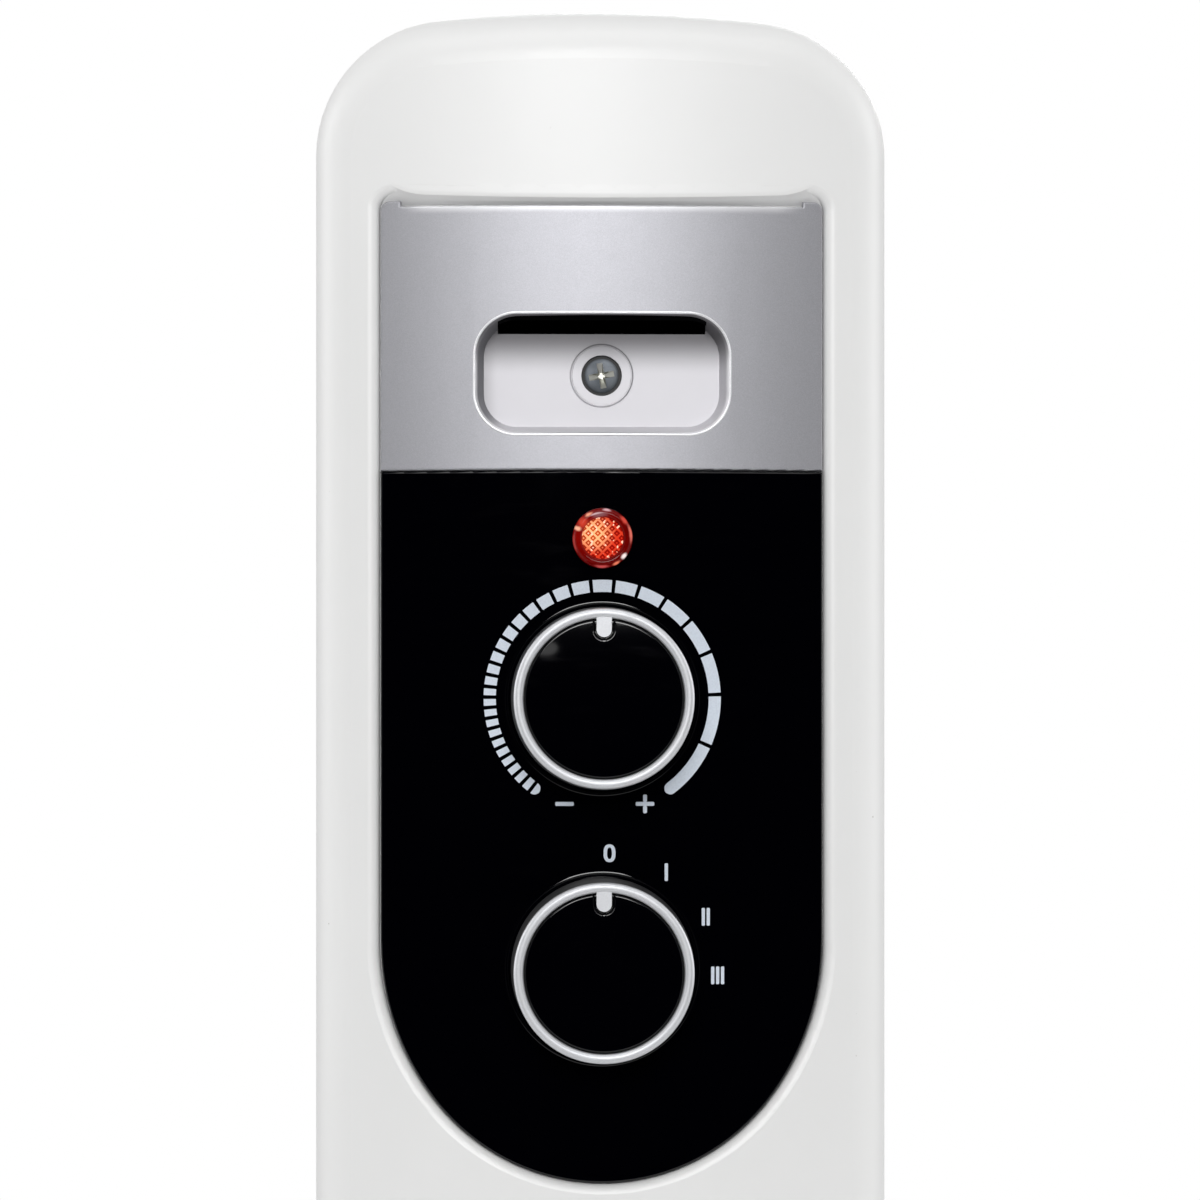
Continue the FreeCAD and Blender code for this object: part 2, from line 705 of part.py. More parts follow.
def header_plugs():
    """The plugs that close the headers at the rear, and the upper one at the front with its fixing stud."""
    rear = []
    for name, level in (("PlugLow", "header_low"), ("PlugHigh", "header_high")):
        flipped = [(r, f"-({along})") for r, along in plug_section("plug_length")]
        rear.append(spun(name, flipped, ("0", "collar_rear + flange_thick", level)))
    subpart(group("RearPlugs", *rear), "rear_header_plugs")
    front = [("0", "-stud_length"), ("stud_radius", "-stud_length"), ("stud_radius", "0")]
    section = front + plug_section("plug_length")[1:]
    subpart(spun("TopPlug", section, ("0", "cover_rear", "header_high")), "top_header_plug")
    subpart(
        nut(
            "StudNut",
            "stud_nut_across",
            "stud_nut_thick",
            "stud_radius + spindle_fit",
            ("0", "tray_front - stud_nut_thick", "header_high"),
        ),
        "top_fixing_nut",
    )


def heater():
    """The heater: flange with its threaded boss, nut, two bent rods in the lower header, and terminals."""
    front = [("0", "-boss_length"), ("boss_radius", "-boss_length"), ("boss_radius", "0")]
    section = front + plug_section("plug_length")[1:]
    subpart(spun("HeaterFlange", section, ("0", "cover_rear", "header_low")), "heater_flange")
    subpart(
        nut(
            "HeaterNut",
            "boss_nut_across",
            "boss_nut_thick",
            "boss_radius + spindle_fit",
            ("0", "tray_front - boss_nut_thick", "header_low"),
        ),
        "heater_nut",
    )
    root = "collar_front + plug_length"
    for label, sign in (("low", "-"), ("high", "+")):
        level = f"header_low {sign} element_rise"
        legs = []
        for side, across in (("Left", "-element_spread"), ("Right", "element_spread")):
            start = (across, root, level)
            legs.append(rod(f"Rod{label}{side}", "element_radius", "element_length", start, "y"))
        bend = doc.addObject("Part::Torus", f"Bend{label}")
        bind(bend, Radius1="element_spread", Radius2="element_radius")
        bend.Angle3 = 180
        place(bend, ("0", f"{root} + element_length", level))
        subpart(fuse(f"Element{label}", *legs, bend), f"heater_element_{label}")
    pins = []
    for across in "-+":
        for up in "-+":
            start = (f"{across}element_spread", "pin_end", f"header_low {up} element_rise")
            pins.append(rod(f"Pin{len(pins)}", "pin_radius", "pin_length", start, "y"))
    subpart(group("Pins", *pins), "heater_terminals")


# The control housing


def outline_block(name, inset, front, rear):
    """The front cover's outline, some way in from its outside, as a block between two levels along Y."""
    wide, low = f"cover_width - 2 * ({inset})", f"cover_foot + {inset}"
    block = box(
        name + "Block",
        (wide, f"({rear}) - ({front})", f"cover_height - 2 * ({inset})"),
        (f"-({wide}) / 2", front, low),
    )
    crown = rod(
        name + "Crown",
        f"cover_crown - ({inset})",
        f"({rear}) - ({front})",
        ("0", front, "cover_head - cover_crown"),
        "y",
    )
    middle = size("cover_foot + cover_height / 2")
    crowned = common(name + "Crowned", block, crown)
    upper = lines_along("y", lambda centre: centre.z > middle)
    lower = lines_along("y", lambda centre: centre.z < middle)
    topped = rounded(name + "Topped", crowned, f"cover_corner - ({inset})", upper)
    return rounded(name, topped, f"cover_base_corner - ({inset})", lower)


def face_drum(name, inset):
    """An upright drum whose front is the cover's curved face, some way in."""
    radius = f"face_crown - ({inset})"
    return rod(name, radius, "cover_height + 2 * cover_lift", ("0", "crown_axis", "ground_clearance"))


def face_wires(shape, radius):
    """The wires of the curved front face of a shape: its outer wire first."""
    faces = [
        f
        for f in shape.Faces
        if f.Surface.TypeId == "Part::GeomCylinder"
        and abs(f.Surface.Radius - radius) < FLAT
        and abs(f.Surface.Axis.z) > 1 - NEAR
    ]
    face = max(faces, key=lambda f: f.Area)
    outer = face.OuterWire
    return [outer] + [w for w in face.Wires if not w.isSame(outer)]


def cover_form(name, inset, rear):
    """The cover's outside, or its inside one sheet further in: curved face with a rolled edge."""
    block = outline_block(name + "Outline", inset, f"face + {inset}", rear)
    blank = common(name + "Blank", block, face_drum(name + "Drum", inset))
    radius = size(f"face_crown - ({inset})")
    return rounded(name, blank, f"cover_roll - ({inset})", lambda shape: face_wires(shape, radius)[0].Edges)


def panel_corners(grow, head, corner):
    """Corners of the fascia and panel together: rounded top corners, straight sides and a rounded foot."""
    grow = f"({grow})"
    half, level = f"(panel_half + {grow})", "arch_level"
    flank, nose = f"arch_flank + {grow}", f"arch_nose + {grow}"
    tip_x = f"(({nose}) * (arch_flank - panel_half) / nose_step)"
    tip_z = f"(arch_level - nose_drop - ({nose}) * nose_drop / nose_step)"
    return [
        (f"-{half} + {corner}", head),
        (f"{half} - {corner}", head, corner, -1),
        (half, f"{head} - {corner}"),
        (half, level, flank, -1),
        (tip_x, tip_z, nose, -1),
        (f"-{tip_x}", tip_z, flank, -1),
        (f"-{half}", level),
        (f"-{half}", f"{head} - {corner}", corner, -1),
    ]


def panel_prism(name, corners):
    """An outline round fascia and panel as a prism that runs right through the cover's face."""
    sketch = upright_sketch(name + "Sketch", corners, "face - cover_roll")
    return prism(name, sketch, "2 * cover_roll + cover_depth / 2")


def recess_prism(name, grow):
    """The recess, some way out: as the panels, with a top edge that bows down between its corners."""
    corner = f"(recess_corner + {grow})"
    corners = panel_corners(grow, f"(fascia_head + brow_gap + brow_bow + {grow})", corner)
    chord = f"(panel_half + {grow} - {corner})"
    corners[0] += (f"({chord}^2 + brow_bow^2) / (2 * brow_bow)", 1)
    return panel_prism(name, corners)


def pocket_prism(name, grow, length):
    """The grip pocket's shape, from the cover's face inwards."""
    grow = f"({grow})"
    half, corner = f"(pocket_width / 2 + {grow})", f"(pocket_corner + {grow})"
    low, high = f"(pocket_head - pocket_height - {grow})", f"(pocket_head + {grow})"
    corners = [
        (f"-{half} + {corner}", low),
        (f"{half} - {corner}", low, corner, 1),
        (half, f"{low} + {corner}"),
        (half, f"{high} - {corner}", corner, 1),
        (f"{half} - {corner}", high),
        (f"-{half} + {corner}", high, corner, 1),
        (f"-{half}", f"{high} - {corner}"),
        (f"-{half}", f"{low} + {corner}", corner, 1),
    ]
    return prism(name, upright_sketch(name + "Sketch", corners, "face"), length, "pocket_draft")


def through(name, radius, level, x="0"):
    """A hole through the face along Y at a level."""
    return rod(name, radius, "cover_depth / 2", (x, "face - cover_roll", level), "y")


def side_screw_places():
    """The cover screws' levels: two near the ends and one half way."""
    return ("cover_foot + side_screw_inset", "cover_foot + cover_height / 2", "cover_head - side_screw_inset")


def side_holes(name):
    """The cover screws' holes, straight across the housing."""
    rods = []
    for i, level in enumerate(side_screw_places()):
        start = ("-cover_width", "cover_rear - tray_depth / 2", level)
        rods.append(rod(f"{name}{i}", "side_shank_radius + screw_fit", "2 * cover_width", start, "x"))
    return fuse(name, *rods)


def front_cover():
    """The pressed front cover: curved face, rolled edge, and a recess whose floor carries the controls."""
    recess = cut("Recess", recess_prism("RecessPrism", "0"), face_drum("RecessDrum", "recess_depth"))
    pressed = cut("CoverPressed", cover_form("CoverOut", "0", "cover_rear"), recess)
    radius = size("face_crown")
    outside = rounded("CoverOutside", pressed, "recess_roll", lambda s: face_wires(s, radius)[1].Edges)
    inner_drum = face_drum("InnerDrum", "recess_depth + cover_wall")
    inner_recess = cut("InnerRecess", recess_prism("InnerPrism", "cover_wall"), inner_drum)
    inside = cut("CoverInside", cover_form("CoverIn", "cover_wall", "cover_rear + cover_wall"), inner_recess)
    shell = cut("CoverShell", outside, inside)
    inlet = ("0", "face + inlet_setback", "cover_foot - cover_wall")
    openings = [
        pocket_prism("PocketWindow", "pocket_wall + pocket_fit", "pocket_depth"),
        through("CoverLampHole", "lens_stem + lens_fit", "lamp_level"),
        through("CoverDialHole", "bush_radius + bush_fit", "dial_level"),
        through("CoverSwitchHole", "bush_radius + bush_fit", "switch_level"),
        rod("CoverInletHole", "inlet_neck + inlet_fit", "3 * cover_wall", inlet),
        side_holes("CoverSideHoles"),
    ]
    subpart(cut("FrontCover", shell, *openings), "front_cover")


def back_plate():
    """The back plate: a shallow tray that closes the housing and is clamped to the stack by two nuts."""
    inset = "cover_wall + tray_gap"
    outer = outline_block("TrayOut", inset, "cover_rear - tray_depth", "cover_rear")
    inner = outline_block("TrayIn", f"{inset} + tray_sheet", "cover_rear - 2 * tray_depth", "tray_front")
    middle = "cover_rear - tray_depth / 2"
    holes = [
        rod("TrayBossHole", "boss_radius + boss_fit", "tray_depth", ("0", middle, "header_low"), "y"),
        rod("TrayStudHole", "stud_radius + boss_fit", "tray_depth", ("0", middle, "header_high"), "y"),
        side_holes("TraySideHoles"),
    ]
    subpart(cut("BackPlate", outer, inner, *holes), "back_plate")


def cover_screws():
    """The screws through the cover's sides into the back plate's turned edge."""
    section = [
        ("0", "0"),
        ("side_head_radius / 2", "0"),
        ("side_head_radius", "side_head_thick / 2"),
        ("side_head_radius", "side_head_thick"),
        ("side_shank_radius", "side_head_thick"),
        ("side_shank_radius", "side_head_thick + side_shank_length"),
        ("0", "side_head_thick + side_shank_length"),
    ]
    screws = []
    for side, sign in (("Left", "-"), ("Right", "+")):
        flip = section if sign == "-" else [(r, f"-({a})") for r, a in section]
        for i, level in enumerate(side_screw_places()):
            where = (f"{sign}(cover_width / 2 + side_head_thick)", "cover_rear - tray_depth / 2", level)
            screws.append(spun(f"SideScrew{side}{i}", flip, where, "x"))
    subpart(group("SideScrews", *screws), "cover_screws")


# The silver fascia and the black panel


def curved_plate(name, low, high):
    """A plate that follows the cover's curved face inside the recess, between two levels."""
    span = box(
        name + "Span",
        ("cover_width", "cover_depth / 2", f"({high}) - ({low})"),
        ("-cover_width / 2", "face - cover_roll", low),
    )
    corners = panel_corners("-panel_gap", "(fascia_head + ear_height)", "ear_round")
    whole = panel_prism(name + "Prism", corners)
    front = common(name + "Front", whole, face_drum(name + "Face", "panel_set"), span)
    between_ears = box(
        name + "BetweenEars",
        ("panel_width - 2 * ear_width", "cover_depth", "fascia_drop"),
        ("-panel_half + ear_width", "face - cover_roll", "fascia_head"),
    )
    back = face_drum(name + "Back", "panel_set + panel_thick")
    sharp = cut(name + "Sharp", front, between_ears, back)
    radius = size("face_crown - panel_set")
    return rounded(name, sharp, "panel_edge", lambda shape: face_wires(shape, radius)[0].Edges)


def fascia():
    """The silver fascia with its grip pocket, the slot along the pocket's top and the boss for its screw."""
    plate = curved_plate("FasciaPlate", "panel_head + panel_gap / 2", "cover_head")
    cup = common(
        "PocketCup",
        pocket_prism("PocketOut", "pocket_wall", "pocket_depth + pocket_wall"),
        face_drum("PocketTrim", "panel_set"),
    )
    boss = rod(
        "ScrewBoss",
        "screw_boss_radius",
        "screw_boss_proud + pocket_wall + screw_boss_length",
        ("0", "pocket_floor - screw_boss_proud", "pocket_level"),
        "y",
    )
    hollow = pocket_prism("PocketIn", "0", "pocket_depth")
    slot = box(
        "PocketSlot",
        ("slot_width", "pocket_depth", "slot_height + 2 * pocket_wall"),
        ("-slot_width / 2", "panel_face + panel_thick + slot_step", "pocket_head - slot_height"),
    )
    well = rod(
        "ScrewWell",
        "screw_well_radius",
        "screw_well_depth",
        ("0", "pocket_floor - screw_boss_proud", "pocket_level"),
        "y",
    )
    screw_axis = ("0", "face", "pocket_level")
    hole = rod("ScrewHole", "screw_shank_radius + screw_fit", "3 * pocket_depth", screw_axis, "y")
    opened = cut("FasciaOpened", fuse("FasciaSkin", plate, cup), hollow)
    radius = size("face_crown - panel_set")
    lipped = rounded("FasciaLipped", opened, "pocket_lip", lambda shape: face_wires(shape, radius)[1].Edges)
    subpart(cut("Fascia", fuse("FasciaBossed", lipped, boss), slot, well, hole), "fascia")


def fascia_fixing():
    """The screw in the pocket, and the strap behind the recess that it pulls on."""
    section = [
        ("0", "0"),
        ("screw_head_radius - screw_head_thick / 2", "0"),
        ("screw_head_radius", "screw_head_thick / 2"),
        ("screw_head_radius", "screw_head_thick"),
        ("screw_shank_radius", "screw_head_thick"),
        ("screw_shank_radius", "screw_head_thick + screw_shank_length"),
        ("0", "screw_head_thick + screw_shank_length"),
    ]
    seat = "pocket_floor - screw_boss_proud + screw_well_depth"
    subpart(spun("FasciaScrew", section, ("0", f"{seat} - screw_head_thick", "pocket_level")), "fascia_screw")
    low = "pocket_level - strap_width / 2"
    bar = box("StrapBar", ("strap_span", "strap_sheet", "strap_width"), ("-strap_span / 2", "boss_end", low))
    legs = [
        box(f"StrapLeg{side}", ("strap_sheet", "boss_end - face", "strap_width"), (x, "face", low))
        for side, x in (("Left", "-strap_span / 2"), ("Right", "strap_span / 2 - strap_sheet"))
    ]
    drum = face_drum("StrapDrum", "recess_depth + cover_wall + seat_gap")
    trimmed = common("StrapTrim", fuse("StrapBlank", bar, *legs), drum)
    screw_axis = ("0", "boss_end - strap_sheet", "pocket_level")
    hole = rod("StrapHole", "screw_shank_radius + screw_fit", "3 * strap_sheet", screw_axis, "y")
    subpart(cut("Strap", trimmed, hole), "fascia_strap")


def control_panel():
    """The black panel with the lamp's hole and the two holes that clear the controls' nuts."""
    plate = curved_plate("PanelPlate", "ground_clearance", "panel_head - panel_gap / 2")
    holes = [
        through("PanelLampHole", "lens_stem + lens_fit", "lamp_level"),
        through("PanelDialHole", "nut_hole_radius", "dial_level"),
        through("PanelSwitchHole", "nut_hole_radius", "switch_level"),
    ]
    subpart(cut("ControlPanel", plate, *holes), "control_panel")


def lamp():
    """The signal lamp: lens with its hollow stem, and the glow lamp plugged into the stem."""
    bore = "lens_stem - lens_wall"
    lens = [
        ("0", "-lens_proud"),
        ("lens_radius - lens_edge", "-lens_proud", "lens_edge", 1),
        ("lens_radius", "-lens_proud + lens_edge"),
        ("lens_radius", "-lens_fit / 2"),
        ("lens_stem", "-lens_fit / 2"),
        ("lens_stem", "lens_stem_length"),
        (bore, "lens_stem_length"),
        (bore, "0"),
        ("0", "0"),
    ]
    subpart(spun("LampLens", lens, ("0", "panel_face", "lamp_level")), "lamp_lens")
    tip = "lens_stem_length - bulb_base_length - bulb_length"
    bulb = [
        ("0", tip),
        ("bulb_radius", f"{tip} + bulb_radius"),
        ("bulb_radius", "lens_stem_length - bulb_base_length"),
        (f"{bore} - spindle_fit", "lens_stem_length - bulb_base_length"),
        (f"{bore} - spindle_fit", "lens_stem_length + bulb_proud"),
        ("0", "lens_stem_length + bulb_proud"),
    ]
    subpart(spun("LampBulb", bulb, ("0", "panel_face", "lamp_level")), "lamp_bulb")


# The two rotary controls


def control_case(name, wide, deep, tall, level):
    """A control's case behind the recess floor, with its shoulder, threaded bush and spindle bore."""
    corner = (f"-({wide}) / 2", "control_face", f"{level} - ({tall}) / 2")
    case = box(name + "Case", (wide, deep, tall), corner)
    soft = rounded(name + "Soft", case, "control_set", lines_along("y"))
    seat = ("0", "shoulder_face", level)
    shoulder = rod(name + "Shoulder", "shoulder_radius", "2 * control_set", seat, "y")
    bush = rod(name + "Bush", "bush_radius", "control_face - panel_face", ("0", "panel_face", level), "y")
    bore = rod(
        name + "Bore",
        "spindle_radius + spindle_fit",
        "control_face - panel_face + spindle_tail + seat_gap",
        ("0", "panel_face", level),
        "y",
    )
    return cut(name, fuse(name + "Skin", soft, shoulder, bush), bore)


def flat_rod(name, grow, front, length, level):
    """A round bar along Y with a flat on top, for a spindle or for the hole that takes it."""
    radius = f"(spindle_radius + {grow})"
    bar = rod(name + "Bar", radius, length, ("0", front, level), "y")
    depth = f"(2 * {radius} - spindle_flat)"
    keep = box(name + "Keep", (f"2 * {radius}", length, depth), (f"-{radius}", front, f"{level} - {radius}"))
    return common(name, bar, keep)


def spindle(name, label, level):
    """A control's spindle: round in its bush, with a flat where it enters the knob."""
    root, tip = "control_face + spindle_tail", "knob_base - spindle_grip"
    inner = rod(name + "Round", "spindle_radius", f"{root} - panel_face", ("0", "panel_face", level), "y")
    outer = flat_rod(name + "Flat", "0", tip, f"panel_face - ({tip})", level)
    subpart(fuse(name, inner, outer), label)


def thermostat():
    """The thermostat: case with its bush, spindle, and the bimetal strip under the case."""
    extent = ("thermostat_wide", "thermostat_deep", "thermostat_tall")
    subpart(control_case("ThermostatBody", *extent, "dial_level"), "thermostat_body")
    low = "dial_level - thermostat_tall / 2 - bimetal_length"
    strip = box(
        "BimetalStrip",
        ("bimetal_wide", "bimetal_thick", "bimetal_length"),
        ("-bimetal_wide / 2", "control_face + thermostat_deep / 2", low),
    )
    tip = rounded("Bimetal", strip, "bimetal_wide / 3", lambda shape: bottom_lines(shape, "y"))
    subpart(tip, "thermostat_bimetal")
    spindle("ThermostatSpindle", "thermostat_spindle", "dial_level")


def bottom_lines(shape, axis):
    """The straight edges along an axis at a shape's lowest level."""
    low = shape.BoundBox.ZMin
    return lines_along(axis, lambda middle: middle.z < low + FLAT)(shape)


def switch():
    """The four-position switch: case with its bush, spindle, and the terminals on its back."""
    case = control_case("SwitchBody", "switch_wide", "switch_deep", "switch_tall", "switch_level")
    subpart(case, "switch_body")
    back = "control_face + switch_deep"
    tabs = [
        box(
            f"SwitchTab{i}",
            ("tab_wide", "tab_length", "tab_thick"),
            (f"{x} * switch_wide / 4 - tab_wide / 2", back, f"switch_level + {z} * switch_tall / 4"),
        )
        for i, (x, z) in enumerate(((-1, 1), (1, 1), (-1, -1), (1, -1)))
    ]
    subpart(group("SwitchTabs", *tabs), "switch_terminals")
    spindle("SwitchSpindle", "switch_spindle", "switch_level")


def control_nuts():
    """The nuts on both bushes, flush with the panel's face and hidden under the knobs."""
    thick = "panel_thick - seat_gap"
    nuts = [
        nut(name, "bush_nut_across", thick, "bush_radius + spindle_fit", ("0", "panel_face", level))
        for name, level in (("DialNut", "dial_level"), ("SwitchNut", "switch_level"))
    ]
    subpart(group("ControlNuts", *nuts), "control_nuts")


# The knobs


def knob(prefix, label, level):
    """A knob: hollow skirt with its hub, silver ring with the pointer, and glossy cap."""
    where = ("0", "knob_base", level)
    depth = "knob_height - ring_height"
    skirt = [
        ("0", f"-({depth})"),
        ("knob_top", f"-({depth})"),
        ("knob_skirt", "0"),
        ("knob_skirt - knob_wall", "0"),
        ("knob_top - knob_wall", f"-({depth} - knob_web)"),
        ("hub_radius", f"-({depth} - knob_web)"),
        ("hub_radius", "0"),
        ("0", "0"),
    ]
    body = spun(prefix + "Skirt", skirt, where)
    blind = "knob_base - spindle_grip - seat_gap"
    hole = flat_rod(prefix + "Hole", "spindle_fit", blind, "2 * spindle_grip", level)
    subpart(cut(prefix + "Knob", body, hole), label)
    subpart(knob_ring(prefix, level), label + "_ring")
    subpart(knob_cap(prefix, level), label + "_cap")


def knob_ring(prefix, level):
    """The silver ring, with the pointer that reaches in over the cap."""
    crest = "ring_height - ring_round"
    section = [
        ("ring_bore", "0"),
        ("knob_top", "0"),
        ("knob_top", f"-({crest})", "ring_round", -1),
        ("knob_top - ring_round", "-ring_height"),
        ("ring_bore + ring_round", "-ring_height", "ring_round", -1),
        ("ring_bore", f"-({crest})"),
    ]
    ring = spun(prefix + "RingBead", section, ("0", "knob_shoulder", level))
    tall = "ring_height - pointer_set"
    top = "knob_front + pointer_set"
    reach = "ring_bore + ring_width / 2 - pointer_round"
    start = f"{level} + pointer_round"
    bar = box(prefix + "PointerBar", ("pointer_width", tall, reach), ("-pointer_width / 2", top, start))
    nose = rod(prefix + "PointerNose", "pointer_width / 2", tall, ("0", top, start), "y")
    return fuse(prefix + "Ring", ring, bar, nose)


def knob_cap(prefix, level):
    """The glossy cap inside the ring, notched round the pointer and slightly domed."""
    rim = "ring_bore - cap_gap"
    height = "ring_height - cap_set"
    dome = f"(({rim} - cap_edge)^2 + cap_dome^2) / (2 * cap_dome)"
    section = [
        ("0", "0"),
        (rim, "0"),
        (rim, f"-({height} - cap_edge)", "cap_edge", -1),
        (f"{rim} - cap_edge", f"-({height})", dome, -1),
        ("0", f"-({height} + cap_dome)"),
    ]
    disc = spun(prefix + "CapDisc", section, ("0", "knob_shoulder", level))
    half = "(pointer_width / 2 + cap_gap)"
    front, tall = "knob_front - ring_height", "3 * ring_height"
    start = f"{level} + pointer_round"
    notch = box(prefix + "NotchBar", (f"2 * {half}", tall, "pointer_reach"), (f"-{half}", front, start))
    nose = rod(prefix + "NotchNose", half, tall, ("0", front, start), "y")
    return cut(prefix + "Cap", disc, notch, nose)


# Small parts inside the housing


def housing_inside():
    """The thermal cut-out, the terminal block and the cord inlet."""
    level = "header_low + cutout_rise"
    can = [
        ("0", "0"),
        ("cutout_radius", "0"),
        ("cutout_radius", "-cutout_height / 3"),
        ("cutout_radius * 0.8", "-cutout_height / 3"),
        ("cutout_radius * 0.8", "-cutout_height"),
        ("0", "-cutout_height"),
    ]
    subpart(spun("ThermalCutout", can, ("0", "tray_front", level)), "thermal_cutout")
    block = box(
        "BlockCase",
        ("block_wide", "block_deep", "block_tall"),
        ("-block_wide / 2", "tray_front - block_deep", "header_low + block_rise"),
    )
    subpart(rounded("TerminalBlock", block, "control_set", lines_along("y")), "terminal_block")
    foot = "-inlet_flange_thick - seat_gap"
    bush = [
        ("inlet_bore", foot),
        ("inlet_flange - inlet_bevel", foot),
        ("inlet_flange", f"{foot} + inlet_bevel"),
        ("inlet_flange", "-seat_gap"),
        ("inlet_neck", "-seat_gap"),
        ("inlet_neck", "cover_wall + seat_gap"),
        ("inlet_flange - inlet_bevel", "cover_wall + seat_gap"),
        ("inlet_neck", "cover_wall + inlet_tail"),
        ("inlet_bore", "cover_wall + inlet_tail"),
    ]
    subpart(spun("InletBush", bush, ("0", "face + inlet_setback", "cover_foot"), "z"), "cord_inlet_bush")


def lead(name, *stops):
    """An inner lead through stops, each run along one axis, with a ball at each bend."""
    pieces = []
    for i, (start, end) in enumerate(zip(stops, stops[1:])):
        axis = next(a for a in range(3) if start[a] != end[a])
        low, high = (start, end) if size(start[axis]) < size(end[axis]) else (end, start)
        run = f"({high[axis]}) - ({low[axis]})"
        pieces.append(rod(f"{name}Run{i}", "lead_radius", run, low, "xyz"[axis]))
        if i:
            ball = doc.addObject("Part::Sphere", f"{name}Bend{i}")
            bind(ball, Radius="lead_radius")
            pieces.append(place(ball, start))
    return fuse(name, *pieces)


def inner_leads():
    """The leads: heater to terminal block, block to switch and thermostat, thermostat to lamp."""
    block_foot = "header_low + block_rise"
    block_head = f"{block_foot} + block_tall"
    leads = []
    for x in ("-element_spread", "element_spread"):
        for name, sign, ahead, under, seat in (("Near", "+", 3, 8, 0.3), ("Far", "-", 7, 4, 0.7)):
            level = f"header_low {sign} element_rise"
            front = f"pin_end - {ahead} * lead_radius"
            turn = f"{block_foot} - {under} * lead_radius"
            back = f"tray_front - {seat} * block_deep"
            rise = [(x, "pin_end", level), (x, front, level), (x, front, turn)]
            stops = rise + [(x, back, turn), (x, back, block_foot)]
            leads.append(lead(f"HeaterLead{name}{len(leads)}", *stops))
    tab_end = "control_face + switch_deep + tab_length"
    for x in ("-switch_wide / 4", "switch_wide / 4"):
        for sign, seat in (("-", 0.75), ("+", 0.25)):
            level = f"switch_level {sign} switch_tall / 4 + tab_thick / 2"
            back = f"tray_front - {seat} * block_deep"
            stops = [(x, back, block_head), (x, back, level), (x, tab_end, level)]
            leads.append(lead(f"SwitchLead{len(leads)}", *stops))
    case_back = "control_face + thermostat_deep"
    for x in ("-bimetal_wide / 4", "bimetal_wide / 4"):
        back, front = "tray_front - block_deep / 2", f"{case_back} - 3 * lead_radius"
        case_foot = "dial_level - thermostat_tall / 2"
        turn = f"{case_foot} - 4 * lead_radius"
        stops = [(x, back, block_head), (x, back, turn), (x, front, turn), (x, front, case_foot)]
        leads.append(lead(f"ThermostatLead{len(leads)}", *stops))
        case_head, up = "dial_level + thermostat_tall / 2", "bulb_back + 4 * lead_radius"
        stops = [(x, up, case_head), (x, up, "lamp_level"), (x, "bulb_back", "lamp_level")]
        leads.append(lead(f"LampLead{len(leads)}", *stops))
    subpart(group("InnerLeads", *leads), "inner_leads")


# The feet


def foot(name, label, level):
    """A pressed foot under two fins: an upturned tray with holes for the hook bolt and the castors."""
    low = "ground_clearance - foot_height"
    outer = box(
        name + "Block",
        ("foot_span", "foot_width", "foot_height"),
        ("-foot_span / 2", f"{level} - foot_width / 2", low),
    )
    outer = rounded(name + "Outline", outer, "foot_corner", lines_along("z"))
    outer = rounded(name + "Outside", outer, "foot_round", edges_at("z", size("ground_clearance")))
    inner = box(
        name + "InnerBlock",
        ("foot_span - 2 * foot_sheet", "foot_width - 2 * foot_sheet", "foot_height"),
        ("-foot_span / 2 + foot_sheet", f"{level} - foot_width / 2 + foot_sheet", f"{low} - foot_sheet"),
    )
    inner = rounded(name + "InnerOutline", inner, "foot_corner - foot_sheet", lines_along("z"))
    inner = rounded(name + "Inside", inner, "foot_round - foot_sheet", edges_at("z", size("foot_under")))
    holes = [
        rod(f"{name}{what}{i}", radius, "2 * foot_height", (f"{sign}{across}", level, low))
        for what, radius, across in (
            ("Hook", "hook_radius + hook_fit", "hook_bend"),
            ("Stem", "stem_radius + axle_fit", "castor_side"),
        )
        for i, sign in enumerate("-+")
    ]
    subpart(cut(name, outer, inner, *holes), label)


def hook_bolt(name, level):
    """A hook bolt bent over the lower header between two fins, with its legs down through the foot."""
    low = "foot_under - hook_tail"
    legs = [
        rod(f"{name}Leg{i}", "hook_radius", f"header_low - ({low})", (f"{sign}hook_bend", level, low))
        for i, sign in enumerate("-+")
    ]
    bend = doc.addObject("Part::Torus", name + "Bend")
    bind(bend, Radius1="hook_bend", Radius2="hook_radius")
    bend.Angle3 = 180
    place(bend, ("0", level, "header_low"), UPRIGHT)
    return fuse(name, *legs, bend)


def wing_nut(name, x, level):
    """A wing nut under the foot: a round body with two upswept wings."""
    top = "foot_under - seat_gap"
    body = rod(name + "Body", "wing_radius", "wing_height", (x, level, f"{top} - wing_height"))
    wings = box(
        name + "Wings",
        ("2 * wing_reach", "wing_thick", "wing_height / 2 + wing_drop"),
        (f"{x} - wing_reach", f"{level} - wing_thick / 2", f"{top} - wing_height - wing_drop"),
    )
    soft = rounded(name + "WingsSoft", wings, "wing_drop", lambda shape: bottom_lines(shape, "y"))
    start = (x, level, f"{top} - 3 * wing_height")
    bore = rod(name + "Bore", "hook_radius + spindle_fit", "4 * wing_height", start)
    return cut(name, fuse(name + "Skin", body, soft), bore)


def feet():
    """Both feet with their hook bolts and wing nuts, under the gaps next to the end fins."""
    ends = (("Front", "first_web + fin_pitch / 2"), ("Rear", "last_web - fin_pitch / 2"))
    for end, level in ends:
        foot(end + "Foot", end.lower() + "_foot", level)
    subpart(group("FootHooks", *[hook_bolt(end + "Hook", level) for end, level in ends]), "foot_hooks")
    nuts = [
        wing_nut(f"{end}Wing{i}", f"{sign}hook_bend", level)
        for end, level in ends
        for i, sign in enumerate("-+")
    ]
    subpart(group("WingNuts", *nuts), "wing_nuts")
    for end, level in ends:
        for side, sign in (("Left", "-"), ("Right", "+")):
            castor(f"{end}{side}", f"castor_{end.lower()}_{side.lower()}", f"{sign}castor_side", level)


# The castors


